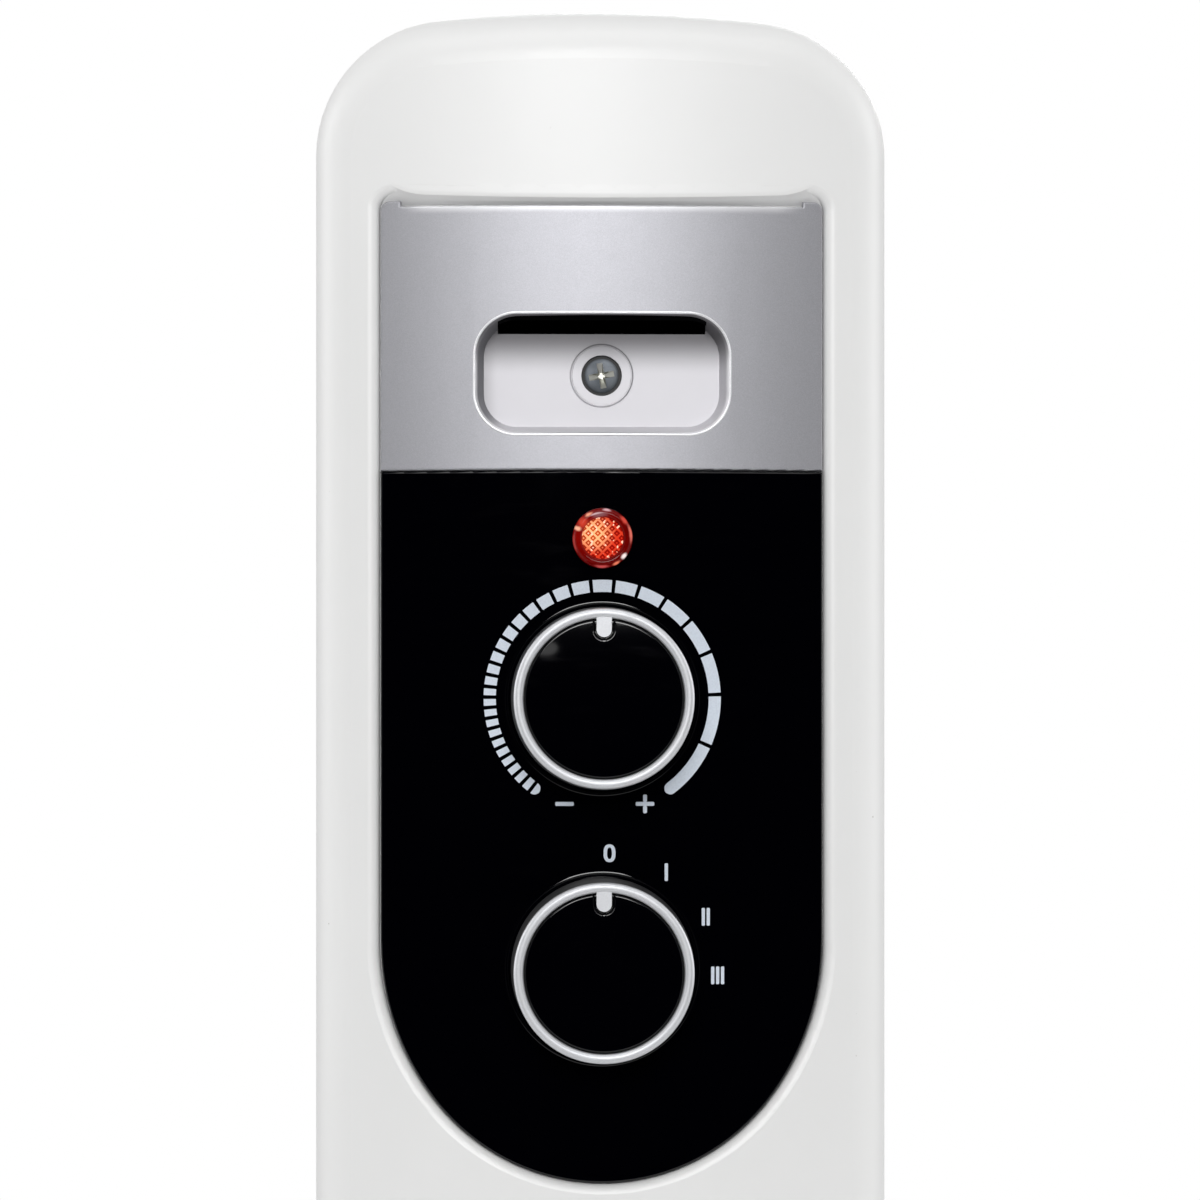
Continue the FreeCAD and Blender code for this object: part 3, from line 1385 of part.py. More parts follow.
def castor(name, label, x, level):
    """A swivel castor: fork with its stem, axle and wheel. The axle trails behind the swivel."""
    axle_y = f"{level} + castor_trail"
    subpart(castor_fork(name, x, level), label + "_fork")
    reach = "fork_half + axle_head_thick"
    axle = [
        ("0", f"-({reach})"),
        ("axle_head", f"-({reach})"),
        ("axle_head", "-fork_half"),
        ("axle_radius", "-fork_half"),
        ("axle_radius", "fork_half"),
        ("axle_head", "fork_half"),
        ("axle_head", reach),
        ("0", reach),
    ]
    subpart(spun(name + "Axle", axle, (x, axle_y, "wheel_radius"), "x"), label + "_axle")
    subpart(castor_wheel(name, x, axle_y), label + "_wheel")


def castor_fork(name, x, level):
    """The fork: a bent outline with a slot for the wheel, thrust collar, and the stem through the foot."""
    crown_top = "(fork_crown + crown_thick)"
    front, low = "-thrust_radius - crown_margin", "castor_trail - cheek_round"
    outer = [
        (front, "fork_crown"),
        (low, "wheel_radius", "cheek_round", 1),
        ("castor_trail", "wheel_radius - cheek_round", "cheek_round", 1),
        ("castor_trail + cheek_round", "wheel_radius"),
        ("castor_trail + cheek_round", crown_top),
        (front, crown_top),
    ]
    side = doc.addObject("Sketcher::SketchObject", name + "Side")
    place(side, (f"{x} - fork_half", level, "0"), SIDEWAYS)
    blank = prism(name + "Blank", outline(side, outer), "2 * fork_half", along="x")
    cheek_faces = size(f"{x} - fork_half"), size(f"{x} + fork_half")
    soft = rounded(name + "Soft", blank, "cheek_edge", edges_at("x", *cheek_faces))
    gap = box(
        name + "Gap",
        ("2 * fork_gap", "4 * wheel_radius", "fork_crown"),
        (f"{x} - fork_gap", f"{level} - 2 * wheel_radius", "0"),
    )
    trunk = [
        ("0", "fork_crown + crown_thick / 2"),
        ("thrust_radius", "fork_crown + crown_thick / 2"),
        ("thrust_radius", "thrust_top"),
        ("stem_radius", "thrust_top"),
        ("stem_radius", "ground_clearance + thrust_gap"),
        ("stem_head", "ground_clearance + thrust_gap"),
        ("stem_head", "ground_clearance + thrust_gap + stem_head_thick / 2"),
        ("stem_head / 2", "ground_clearance + thrust_gap + stem_head_thick"),
        ("0", "ground_clearance + thrust_gap + stem_head_thick"),
    ]
    stem = spun(name + "Stem", trunk, (x, level, "0"), "z")
    start = (f"{x} - 2 * fork_half", f"{level} + castor_trail", "wheel_radius")
    hole = rod(name + "AxleHole", "axle_radius + axle_fit", "4 * fork_half", start, "x")
    return cut(name + "Fork", fuse(name + "ForkSkin", cut(name + "Cheeks", soft, gap), stem), hole)


def castor_wheel(name, x, axle_y):
    """The wheel: rounded tread, dished sides, hub and bore."""
    half, tread = "wheel_width / 2", "wheel_radius - wheel_edge"
    section = [
        ("axle_radius + axle_fit", f"-{half}"),
        ("wheel_hub", f"-{half}"),
        ("wheel_hub", f"-{half} + wheel_dish"),
        ("wheel_radius - wheel_rim", f"-{half} + wheel_dish"),
        ("wheel_radius - wheel_rim", f"-{half}"),
        (tread, f"-{half}", "wheel_edge", -1),
        ("wheel_radius", f"-{half} + wheel_edge"),
        ("wheel_radius", f"{half} - wheel_edge", "wheel_edge", -1),
        (tread, half),
        ("wheel_radius - wheel_rim", half),
        ("wheel_radius - wheel_rim", f"{half} - wheel_dish"),
        ("wheel_hub", f"{half} - wheel_dish"),
        ("wheel_hub", half),
        ("axle_radius + axle_fit", half),
    ]
    return spun(name + "Wheel", section, (x, axle_y, "wheel_radius"), "x")


# Everything together


def check():
    """Stops if an object failed or a piece has no sound solid."""
    failed = [thing.Name for thing in doc.Objects if {"Invalid", "Error"} & set(thing.State)]
    if failed:
        raise RuntimeError(f"failed objects: {failed}")
    for thing in subparts:
        shape = thing.Shape
        if shape.isNull() or not shape.isValid() or not shape.Solids:
            raise RuntimeError(f"{thing.Label}: no sound solid")


def write_parts():
    """Writes each piece to its own STEP file."""
    os.makedirs("parts", exist_ok=True)
    for thing in subparts:
        thing.Shape.exportStep(f"parts/{thing.Label}.step")


def main():
    """Builds the radiator from its stack to its castors and writes the pieces."""
    fill_sheet()
    fins()
    header_plugs()
    heater()
    front_cover()
    back_plate()
    cover_screws()
    fascia()
    fascia_fixing()
    control_panel()
    lamp()
    thermostat()
    switch()
    control_nuts()
    knob("Dial", "thermostat_knob", "dial_level")
    knob("Switch", "switch_knob", "switch_level")
    housing_inside()
    inner_leads()
    feet()
    doc.recompute()
    check()
    write_parts()


main()
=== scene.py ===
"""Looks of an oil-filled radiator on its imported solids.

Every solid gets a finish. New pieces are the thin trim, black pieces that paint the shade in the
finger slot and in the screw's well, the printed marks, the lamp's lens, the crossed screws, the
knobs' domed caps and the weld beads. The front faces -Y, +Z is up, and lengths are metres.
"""

import json
import logging
import math
from dataclasses import dataclass
from enum import Enum
from functools import lru_cache
from typing import Any, Callable, Optional, Protocol, Sequence, Union

import bmesh
import bpy
from mathutils import Matrix, Vector


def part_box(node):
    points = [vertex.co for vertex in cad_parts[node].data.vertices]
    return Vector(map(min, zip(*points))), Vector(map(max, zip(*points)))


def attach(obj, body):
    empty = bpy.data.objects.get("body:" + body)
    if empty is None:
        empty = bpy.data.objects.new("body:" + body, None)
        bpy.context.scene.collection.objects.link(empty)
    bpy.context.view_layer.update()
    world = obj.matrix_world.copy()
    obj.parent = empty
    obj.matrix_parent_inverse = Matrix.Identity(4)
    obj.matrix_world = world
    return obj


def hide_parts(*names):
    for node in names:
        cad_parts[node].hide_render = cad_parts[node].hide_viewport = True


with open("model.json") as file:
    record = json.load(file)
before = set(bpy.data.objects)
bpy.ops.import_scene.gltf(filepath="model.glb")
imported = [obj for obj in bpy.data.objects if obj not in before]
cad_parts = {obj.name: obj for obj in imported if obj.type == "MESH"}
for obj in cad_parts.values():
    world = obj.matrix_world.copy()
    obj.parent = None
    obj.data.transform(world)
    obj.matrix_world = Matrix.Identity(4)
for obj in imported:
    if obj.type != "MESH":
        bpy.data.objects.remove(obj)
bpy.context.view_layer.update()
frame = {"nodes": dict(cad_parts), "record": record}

Triple = tuple[float, float, float]
Colour = Triple
Span = tuple[float, float]
Pair = tuple[Vector, Vector]
Stroke = tuple[list[Pair], bool]
Input = Union[float, Sequence[float], "Wire"]
Sockets = dict[Union[int, str], Input]

LOG = logging.getLogger("radiator")
MM = 0.001
TINY = 1e-7
WELD = 1e-6
MAIN_BODY = "radiator"
SLOT_OF_NODE = {row["node"]: row["material_slot"] for row in frame["record"]["subparts"]}


class Slot(Enum):
    """The record's material slots."""

    COVER_PAINT = "cover_paint"
    FIN_PAINT = "fin_paint"
    FOOT_PAINT = "foot_paint"
    SILVER_PAINT = "silver_paint"
    BLACK_GLOSS = "black_gloss"
    BLACK_SATIN = "black_satin"
    KNOB_SILVER = "knob_silver"
    AMBER_LENS = "amber_lens"
    LAMP_GLASS = "lamp_glass"
    ZINC_STEEL = "zinc_steel"
    DARK_SCREW = "dark_screw"
    BRASS = "brass"
    HEATER_SHEATH = "heater_sheath"
    CONTROL_PLASTIC = "control_plastic"
    BIMETAL = "bimetal"
    LEAD_SLEEVE = "lead_sleeve"
    INLET_RUBBER = "inlet_rubber"
    CASTOR_PLASTIC = "castor_plastic"
    CASTOR_TYRE = "castor_tyre"


class Axis(Enum):
    """The way that a turned piece's own Z axis points."""

    FRONT = (0.0, -1.0, 0.0)
    LEFT = (-1.0, 0.0, 0.0)
    RIGHT = (1.0, 0.0, 0.0)

    def at(self, point: Vector) -> Matrix:
        """Returns the placement of a piece that points this way from a point."""
        turn = Vector(self.value).to_track_quat("Z", "Y").to_matrix().to_4x4()
        return Matrix.Translation(point) @ turn


class LampShape(Enum):
    """The outline of a soft lamp."""

    RECTANGLE = "RECTANGLE"
    ELLIPSE = "ELLIPSE"


@lru_cache(maxsize=None)
def node_box(node: str) -> Pair:
    """Returns the lowest and the highest corner of a node, looked up once."""
    return tuple(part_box(node))


def middle(node: str) -> Vector:
    """Returns the middle of a node's box."""
    low, high = node_box(node)
    return (low + high) / 2


def front(node: str) -> float:
    """Returns the foremost place of a node."""
    return node_box(node)[0].y


def nodes_named(prefix: str) -> tuple[str, ...]:
    """Returns the nodes whose names start alike."""
    return tuple(sorted(node for node in frame["nodes"] if node.startswith(prefix)))


def full_turn(steps: int) -> list[float]:
    """Returns the angles of even steps round a full turn, in radians."""
    return [2 * math.pi * i / steps for i in range(steps)]


# Places and sizes that several pieces share.
DRUM = 219 * MM
COVER_PROUD = front("fascia") - front("front_cover")
CROWN_DEPTH = 50 * MM
FASCIA_HEAD = node_box("front_cover")[1].z - CROWN_DEPTH
POCKET_LEVEL = middle("fascia_screw").z
POCKET_HALF: Span = (32.2 * MM, 15.2 * MM)
POCKET_CORNER = 10.5 * MM
LENS_LEVEL = middle("lamp_lens").z
LAMP_SPOT: Span = (-2.2 * MM, LENS_LEVEL + 1.2 * MM)


def on_drum(node: str, across: float, behind: float, up: float) -> Vector:
    """Finds a point on the bowed front of the fascia or the panel, whose axis is upright.

    Args:
        node: The node's name.
        across: The point's place across.
        behind: How far it lies behind the front.
        up: Its height.

    Returns:
        The point.
    """
    sag = DRUM - math.sqrt(DRUM**2 - across**2)
    return Vector((across, front(node) + sag + behind, up))


class Wire:
    """An output socket of a shader node that takes part in sums."""

    def __init__(self, graph: "Graph", socket: bpy.types.NodeSocket) -> None:
        """Wraps a socket.

        Args:
            graph: The material's nodes.
            socket: The output socket.
        """
        self.graph = graph
        self.socket = socket

    def _sum(self, operation: str, left: Input, right: Input) -> "Wire":
        """Adds the node of one operation.

        Args:
            operation: The node's operation.
            left: The first term.
            right: The second term.

        Returns:
            The result.
        """
        plain = all(not isinstance(side, Wire) or side.socket.type == "VALUE" for side in (left, right))
        kind = "ShaderNodeMath" if plain else "ShaderNodeVectorMath"
        return self.graph.node(kind, {"operation": operation}, {0: left, 1: right})

    def __add__(self, other: Input) -> "Wire":
        """Adds."""
        return self._sum("ADD", self, other)

    def __radd__(self, other: Input) -> "Wire":
        """Adds to a number."""
        return self._sum("ADD", other, self)

    def __sub__(self, other: Input) -> "Wire":
        """Subtracts."""
        return self._sum("SUBTRACT", self, other)

    def __rsub__(self, other: Input) -> "Wire":
        """Subtracts from a number."""
        return self._sum("SUBTRACT", other, self)

    def __mul__(self, other: Input) -> "Wire":
        """Multiplies."""
        return self._sum("MULTIPLY", self, other)

    def __rmul__(self, other: Input) -> "Wire":
        """Multiplies a number."""
        return self._sum("MULTIPLY", other, self)

    def __pow__(self, power: float) -> "Wire":
        """Raises to a power."""
        return self._sum("POWER", self, power)

    def __abs__(self) -> "Wire":
        """Drops the sign."""
        return self.graph.node("ShaderNodeMath", {"operation": "ABSOLUTE"}, {0: self})


class Graph:
    """The nodes of one material or of the world."""

    def __init__(self, tree: bpy.types.NodeTree) -> None:
        """Starts with an empty node tree.

        Args:
            tree: The node tree.
        """
        self.tree = tree
        tree.nodes.clear()

    def node(
        self,
        kind: str,
        settings: Optional[dict[str, Any]] = None,
        inputs: Optional[Sockets] = None,
        output: Union[int, str] = 0,
    ) -> Wire:
        """Adds a node of any type.

        Args:
            kind: The node's type.
            settings: Its settings, which are set first.
            inputs: Values or links of its sockets, by name or number.
            output: The output socket that is wanted.

        Returns:
            That output.
        """
        made = self.tree.nodes.new(kind)
        for name, value in (settings or {}).items():
            setattr(made, name, value)
        for name, value in (inputs or {}).items():
            if isinstance(value, Wire):
                self.tree.links.new(value.socket, made.inputs[name])
            else:
                made.inputs[name].default_value = value
        return Wire(self, made.outputs[output] if len(made.outputs) else None)

    def place(self) -> Wire:
        """Returns the place on the piece, in metres."""
        return self.node("ShaderNodeTexCoord", output="Object")

    def part_of(self, vector: Wire, axis: str) -> Wire:
        """Returns one coordinate, X, Y or Z, of a vector."""
        return self.node("ShaderNodeSeparateXYZ", inputs={0: vector}, output=axis)

    def noise(self, scale: float, detail: float = 2.0, stretch: Triple = (1.0, 1.0, 1.0)) -> Wire:
        """Adds a soft cloudy pattern from 0 to 1.

        Args:
            scale: Clouds per metre.
            detail: Finer octaves.
            stretch: Scale along each axis.

        Returns:
            The pattern.
        """
        inputs: Sockets = {"Vector": self.place() * stretch, "Scale": scale, "Detail": detail}
        return self.node("ShaderNodeTexNoise", None, inputs, "Fac")

    def cells(self, scale: float) -> Wire:
        """Returns the distance from the middles of random cells, with so many cells per metre."""
        return self.node("ShaderNodeTexVoronoi", None, {"Vector": self.place(), "Scale": scale})

    def cell_value(self, scale: float) -> Wire:
        """Returns a random value from 0 to 1 for each cell, with so many cells per metre."""
        cell = self.node("ShaderNodeTexVoronoi", None, {"Vector": self.place(), "Scale": scale}, "Color")
        return self.part_of(cell, "X")

    def smooth(self, value: Wire, low: float, high: float) -> Wire:
        """Returns a smooth step from 0 at low to 1 at high."""
        settings = {"interpolation_type": "SMOOTHSTEP"}
        return self.node("ShaderNodeMapRange", settings, {0: value, 1: low, 2: high})

    def larger(self, value: Wire, other: Input) -> Wire:
        """Returns the larger of two values."""
        return self.node("ShaderNodeMath", {"operation": "MAXIMUM"}, {0: value, 1: other})

    def length(self, first: Wire, second: Wire) -> Wire:
        """Returns the length of a way whose two parts stand square to each other."""
        return (first * first + second * second) ** 0.5

    def mix(self, factor: Wire, first: Input, second: Input) -> Wire:
        """Mixes two colours."""
        first, second = (c if isinstance(c, Wire) else (*c, 1.0) for c in (first, second))
        return self.node("ShaderNodeMix", {"data_type": "RGBA"}, {0: factor, 6: first, 7: second}, 2)

    def bump(
        self,
        height: Wire,
        depth: float,
        strength: float = 1.0,
        below: Optional[Wire] = None,
    ) -> Wire:
        """Raises the surface.

        Args:
            height: Pattern from 0 to 1.
            depth: Height in metres.
            strength: Share of it that shows.
            below: The normal of a bump below this one.

        Returns:
            The normal.
        """
        inputs: Sockets = {"Height": height, "Distance": depth, "Strength": strength}
        if below is not None:
            inputs["Normal"] = below
        return self.node("ShaderNodeBump", None, inputs)

    def surface(self, shader: Wire) -> None:
        """Makes a shader the material's surface."""
        self.node("ShaderNodeOutputMaterial", None, {"Surface": shader})

    def principled(self, **sockets: Input) -> Wire:
        """Adds the main shader; a socket's name has _ for its spaces."""
        inputs = {name.replace("_", " "): value for name, value in sockets.items()}
        return self.node("ShaderNodeBsdfPrincipled", None, inputs)


@dataclass(frozen=True)
class Finish:
    """A finish that becomes one material."""

    name: str

    def material(self) -> bpy.types.Material:
        """Makes the material, unless it is there already.

        Returns:
            The material.
        """
        made = bpy.data.materials.get("finish_" + self.name)
        if made is None:
            made = bpy.data.materials.new("finish_" + self.name)
            made.use_nodes = True
            graph = Graph(made.node_tree)
            graph.surface(self.shader(graph))
        return made

    def shader(self, graph: Graph) -> Wire:
        """Returns the finish's shader, which each kind of finish makes in its own way."""
        raise NotImplementedError


@dataclass(frozen=True)
class Enamel(Finish):
    """Baked enamel on sheet steel, with orange peel and a few specks of dust under it."""

    colour: Colour
    shade: Colour
    roughness: float
    peel_depth: float = 5e-6
    gloss: float = 0.45
    clouds: float = 11.0
    cloud_edge: Span = (0.3, 0.7)
    peel_grain: Span = (520.0, 1700.0)
    fine_peel: float = 0.35
    wear_grain: float = 60.0
    wear: float = 0.07
    speck_grain: float = 230.0
    speck_rarity: Span = (0.955, 0.965)
    speck_size: Span = (0.035, 0.07)
    speck_depth: float = 2e-5
    speck_relief: float = 0.6
    speck_cover: float = 0.7
    speck_colour: Colour = (0.42, 0.4, 0.37)

    def shader(self, graph: Graph) -> Wire:
        """Adds the finish's shader.

        Args:
            graph: The material's nodes.

        Returns:
            The shader.
        """
        cloud = graph.smooth(graph.noise(self.clouds, detail=3.0), *self.cloud_edge)
        rare = graph.smooth(graph.cell_value(self.speck_grain), *self.speck_rarity)
        speck = (1 - graph.smooth(graph.cells(self.speck_grain), *self.speck_size)) * rare
        coarse, fine = (graph.noise(grain, detail=1.0) for grain in self.peel_grain)
        peel = graph.bump(coarse + self.fine_peel * fine, self.peel_depth)
        paint = graph.mix(cloud, self.colour, self.shade)
        return graph.principled(
            Base_Color=graph.mix(self.speck_cover * speck, paint, self.speck_colour),
            Roughness=self.roughness + self.wear * graph.noise(self.wear_grain),
            Normal=graph.bump(speck, self.speck_depth, self.speck_relief, peel),
            Specular_IOR_Level=self.gloss,
        )


@dataclass(frozen=True)
class FlakePaint(Finish):
    """Silver paint with fine metal flakes."""

    colour: Colour
    flake_colour: Colour
    roughness: float
    metallic: float
    flake_grain: float = 9000.0
    flake_share: float = 0.75
    flake_edge: Span = (0.2, 0.85)
    flake_depth: float = 1.2e-6
    flake_relief: float = 0.7
    clouds: float = 240.0
    cloud_shine: float = 0.06
    flow_grain: float = 700.0
    flow_depth: float = 3e-6
    wear_grain: float = 900.0
    wear: float = 0.06

    def shader(self, graph: Graph) -> Wire:
        """Adds the finish's shader.

        Args:
            graph: The material's nodes.

        Returns:
            The shader.
        """
        cloud = graph.noise(self.clouds, detail=4.0)
        blend = self.flake_share * graph.cell_value(self.flake_grain) + (1 - self.flake_share) * cloud
        flow = graph.bump(graph.noise(self.flow_grain, detail=1.0), self.flow_depth)
        return graph.principled(
            Base_Color=self.tone(graph, graph.smooth(blend, *self.flake_edge)),
            Metallic=self.shine(graph) + self.cloud_shine * cloud,
            Roughness=self.roughness + self.wear * graph.noise(self.wear_grain),
            Normal=graph.bump(graph.cells(self.flake_grain), self.flake_depth, self.flake_relief, flow),
        )

    def tone(self, graph: Graph, bright: Wire) -> Wire:
        """Returns the paint's colour from the brightness of its flakes."""
        return graph.mix(bright, self.colour, self.flake_colour)

    def shine(self, graph: Graph) -> Input:
        """Returns how metallic the paint looks."""
        return self.metallic


@dataclass(frozen=True)
class FasciaPaint(FlakePaint):
    """Silver paint that is dull and pale inside the grip pocket, with a painted shadow under the slot and
    on the pocket's left wall, and a painted highlight along the rolled top edge.
    """

    dull: float = 0.3
    pale: Colour = (0.66, 0.65, 0.68)
    # Painted shadow colour for the pocket's floor under the slot and along its left wall.
    painted_shadow: Colour = (0.1, 0.097, 0.104)
    # Painted shade for the wall that faces right, the pocket's left wall.
    wall: Colour = (0.2, 0.2, 0.215)
    wall_turn: Span = (0.3, 0.9)
    mouth_blur: float = 0.3 * MM
    # Where the painted shadows under the slot and along the left wall fade, and how strong they are.
    slot_fade: Span = (0.0, 10.6 * MM)
    side_fade: Span = (1.8 * MM, 6.0 * MM)
    slot_shade: float = 0.95
    side_shade: float = 0.29
    # Painted highlight along the rolled top edge: its fade, its width and its colour.
    highlight_fade: float = 2.3 * MM
    highlight_half: Span = (44.2 * MM, 52 * MM)
    highlight_colour: Colour = (0.72, 0.72, 0.74)

    def in_pocket(self, graph: Graph) -> Wire:
        """Adds a mask that is 1 inside the mouth of the pocket, a rounded rectangle.

        Args:
            graph: The material's nodes.

        Returns:
            The mask.
        """
        place = graph.place()
        past = []
        for axis, centre, half in zip("XZ", (0.0, POCKET_LEVEL), POCKET_HALF):
            away = abs(graph.part_of(place, axis) - centre)
            past.append(graph.larger(away - (half - POCKET_CORNER), 0.0))
        far = graph.length(*past)
        return 1 - graph.smooth(far, POCKET_CORNER - self.mouth_blur, POCKET_CORNER + self.mouth_blur)

    def inside(self, graph: Graph) -> Wire:
        """Adds the colour inside the pocket, with a painted shadow under the slot and along the left
        wall.

        Args:
            graph: The material's nodes.

        Returns:
            The colour.
        """
        place = graph.place()
        above = graph.part_of(place, "Z") - POCKET_LEVEL
        from_side = graph.part_of(place, "X") + POCKET_HALF[0]
        # Painted shadow under the slot and along the left wall.
        slot_shadow_mask = graph.smooth(above, *self.slot_fade)
        side_shadow_mask = 1 - graph.smooth(from_side, *self.side_fade)
        floor = graph.mix(self.slot_shade * slot_shadow_mask, self.pale, self.painted_shadow)
        floor = graph.mix(self.side_shade * side_shadow_mask, floor, self.painted_shadow)
        # Painted shade on the left wall, found by the way the surface faces.
        facing = graph.node("ShaderNodeTexCoord", output="Normal")
        return graph.mix(graph.smooth(graph.part_of(facing, "X"), *self.wall_turn), floor, self.wall)

    def tone(self, graph: Graph, bright: Wire) -> Wire:
        """Adds the paint's colour, with a painted highlight at the top edge, and paler in the pocket.

        Args:
            graph: The material's nodes.
            bright: The brightness of the flakes.

        Returns:
            The colour.
        """
        place = graph.place()
        # Painted highlight in a band under the top edge.
        top_highlight = graph.smooth(graph.part_of(place, "Z"), FASCIA_HEAD - self.highlight_fade, FASCIA_HEAD)
        between = 1 - graph.smooth(abs(graph.part_of(place, "X")), *self.highlight_half)
        face = graph.mix(top_highlight * between, super().tone(graph, bright), self.highlight_colour)
        return graph.mix(self.in_pocket(graph), face, self.inside(graph))

    def shine(self, graph: Graph) -> Wire:
        """Returns how metallic the paint looks, less so in the pocket."""
        return self.metallic - (self.metallic - self.dull) * self.in_pocket(graph)


@dataclass(frozen=True)
class Polish(Finish):
    """Polished plastic with a trace of handling."""

    colour: Colour
    roughness: float
    specular: float
    wipe_grain: float = 55.0
    wipe_stretch: Triple = (1.0, 1.0, 5.0)
    wipe_edge: Span = (0.52, 0.72)
    wipe_wear: float = 0.035
    dust_grain: float = 900.0
    dust_size: Span = (0.02, 0.06)
    dust_cover: float = 0.06
    dust_wear: float = 0.05
    dust_colour: Colour = (0.3, 0.3, 0.31)
    wave_grain: float = 140.0
    wave_depth: float = 1.5e-6

    def shader(self, graph: Graph) -> Wire:
        """Adds the finish's shader.

        Args:
            graph: The material's nodes.

        Returns:
            The shader.
        """
        streak = graph.noise(self.wipe_grain, detail=5.0, stretch=self.wipe_stretch)
        wipe = graph.smooth(streak, *self.wipe_edge)
        dust = 1 - graph.smooth(graph.cells(self.dust_grain), *self.dust_size)
        return graph.principled(
            Base_Color=graph.mix(self.dust_cover * dust, self.colour, self.dust_colour),
            Roughness=self.roughness + self.wipe_wear * wipe + self.dust_wear * dust,
            Normal=graph.bump(graph.noise(self.wave_grain, detail=1.0), self.wave_depth),
            Specular_IOR_Level=self.specular,
        )


@dataclass(frozen=True)
class Moulded(Finish):
    """Moulded plastic or rubber with a fine eroded grain."""

    colour: Colour
    worn: Colour
    roughness: float
    grain: float = 2400.0
    depth: float = 8e-6
    specular: float = 0.4
    patches: float = 38.0
    patch_edge: Span = (0.45, 0.75)
    patch_polish: float = 0.05
    pore_grain: float = 0.6
    pore_depth: float = 0.5
    wear: float = 0.12

    def shader(self, graph: Graph) -> Wire:
        """Adds the finish's shader.

        Args:
            graph: The material's nodes.

        Returns:
            The shader.
        """
        patch = graph.smooth(graph.noise(self.patches, detail=4.0), *self.patch_edge)
        height = graph.noise(self.grain) + self.pore_depth * graph.cells(self.pore_grain * self.grain)
        return graph.principled(
            Base_Color=graph.mix(patch, self.colour, self.worn),
            Roughness=self.roughness + self.wear * graph.noise(self.grain) - self.patch_polish * patch,
            Normal=graph.bump(height, self.depth),
            Specular_IOR_Level=self.specular,
        )


@dataclass(frozen=True)
class Metal(Finish):
    """Plated, rolled or turned metal with fine tool lines."""

    colour: Colour
    stain: Colour
    roughness: float
    clouds: float = 130.0
    cloud_edge: Span = (0.35, 0.75)
    cloud_wear: float = 0.1
    line_grain: float = 420.0
    line_stretch: Triple = (1.0, 1.0, 12.0)
    line_depth: float = 4e-6
    line_relief: float = 0.6
    line_wear: float = 0.14

    def shader(self, graph: Graph) -> Wire:
        """Adds the finish's shader.

        Args:
            graph: The material's nodes.

        Returns:
            The shader.
        """
        cloud = graph.smooth(graph.noise(self.clouds, detail=4.0), *self.cloud_edge)
        line = graph.noise(self.line_grain, detail=3.0, stretch=self.line_stretch)
        return graph.principled(
            Base_Color=graph.mix(cloud, self.colour, self.stain),
            Metallic=1.0,
            Roughness=self.roughness + self.line_wear * line + self.cloud_wear * cloud,
            Normal=graph.bump(line, self.line_depth, self.line_relief),
        )


@dataclass(frozen=True)
class Ink(Finish):
    """Printed ink, slightly thin in places."""

    colour: Colour
    thin: Colour
    grain: float = 2600.0
    cover_edge: Span = (0.3, 0.62)
    roughness: float = 0.42
    wear_grain: float = 1500.0
    wear: float = 0.1
    tooth_grain: float = 3000.0
    tooth_depth: float = 2e-6

    def shader(self, graph: Graph) -> Wire:
        """Adds the finish's shader.

        Args:
            graph: The material's nodes.

        Returns:
            The shader.
        """
        cover = graph.smooth(graph.noise(self.grain, detail=3.0), *self.cover_edge)
        return graph.principled(
            Base_Color=graph.mix(cover, self.thin, self.colour),
            Roughness=self.roughness + self.wear * graph.noise(self.wear_grain),
            Normal=graph.bump(graph.noise(self.tooth_grain), self.tooth_depth),
        )


@dataclass(frozen=True)
class RimHighlight:
    """A painted highlight on the lens's rim, whose angle counts from the right."""

    angle: float
    radius: float
    along: float
    across: float
    colour: Colour
    soft_edge: Span = (0.2, 1.0)

    def mask(self, graph: Graph, ragged: Wire) -> Wire:
        """Adds a mask that is 1 in the painted highlight.

        Args:
            graph: The material's nodes.
            ragged: A pattern that frays its edge.

        Returns:
            The mask.
        """
        place = graph.place()
        right = graph.part_of(place, "X")
        up = graph.part_of(place, "Z") - LENS_LEVEL
        turn = math.radians(self.angle)
        outward = math.cos(turn) * right + math.sin(turn) * up
        aside = (math.cos(turn) * up - math.sin(turn) * right) * (1 / self.along)
        off = (graph.length(right, up) - self.radius) * (1 / self.across)
        inside = 1 - graph.smooth(graph.length(aside, off) + ragged, *self.soft_edge)
        return inside * graph.smooth(outward, 0.0, self.radius)


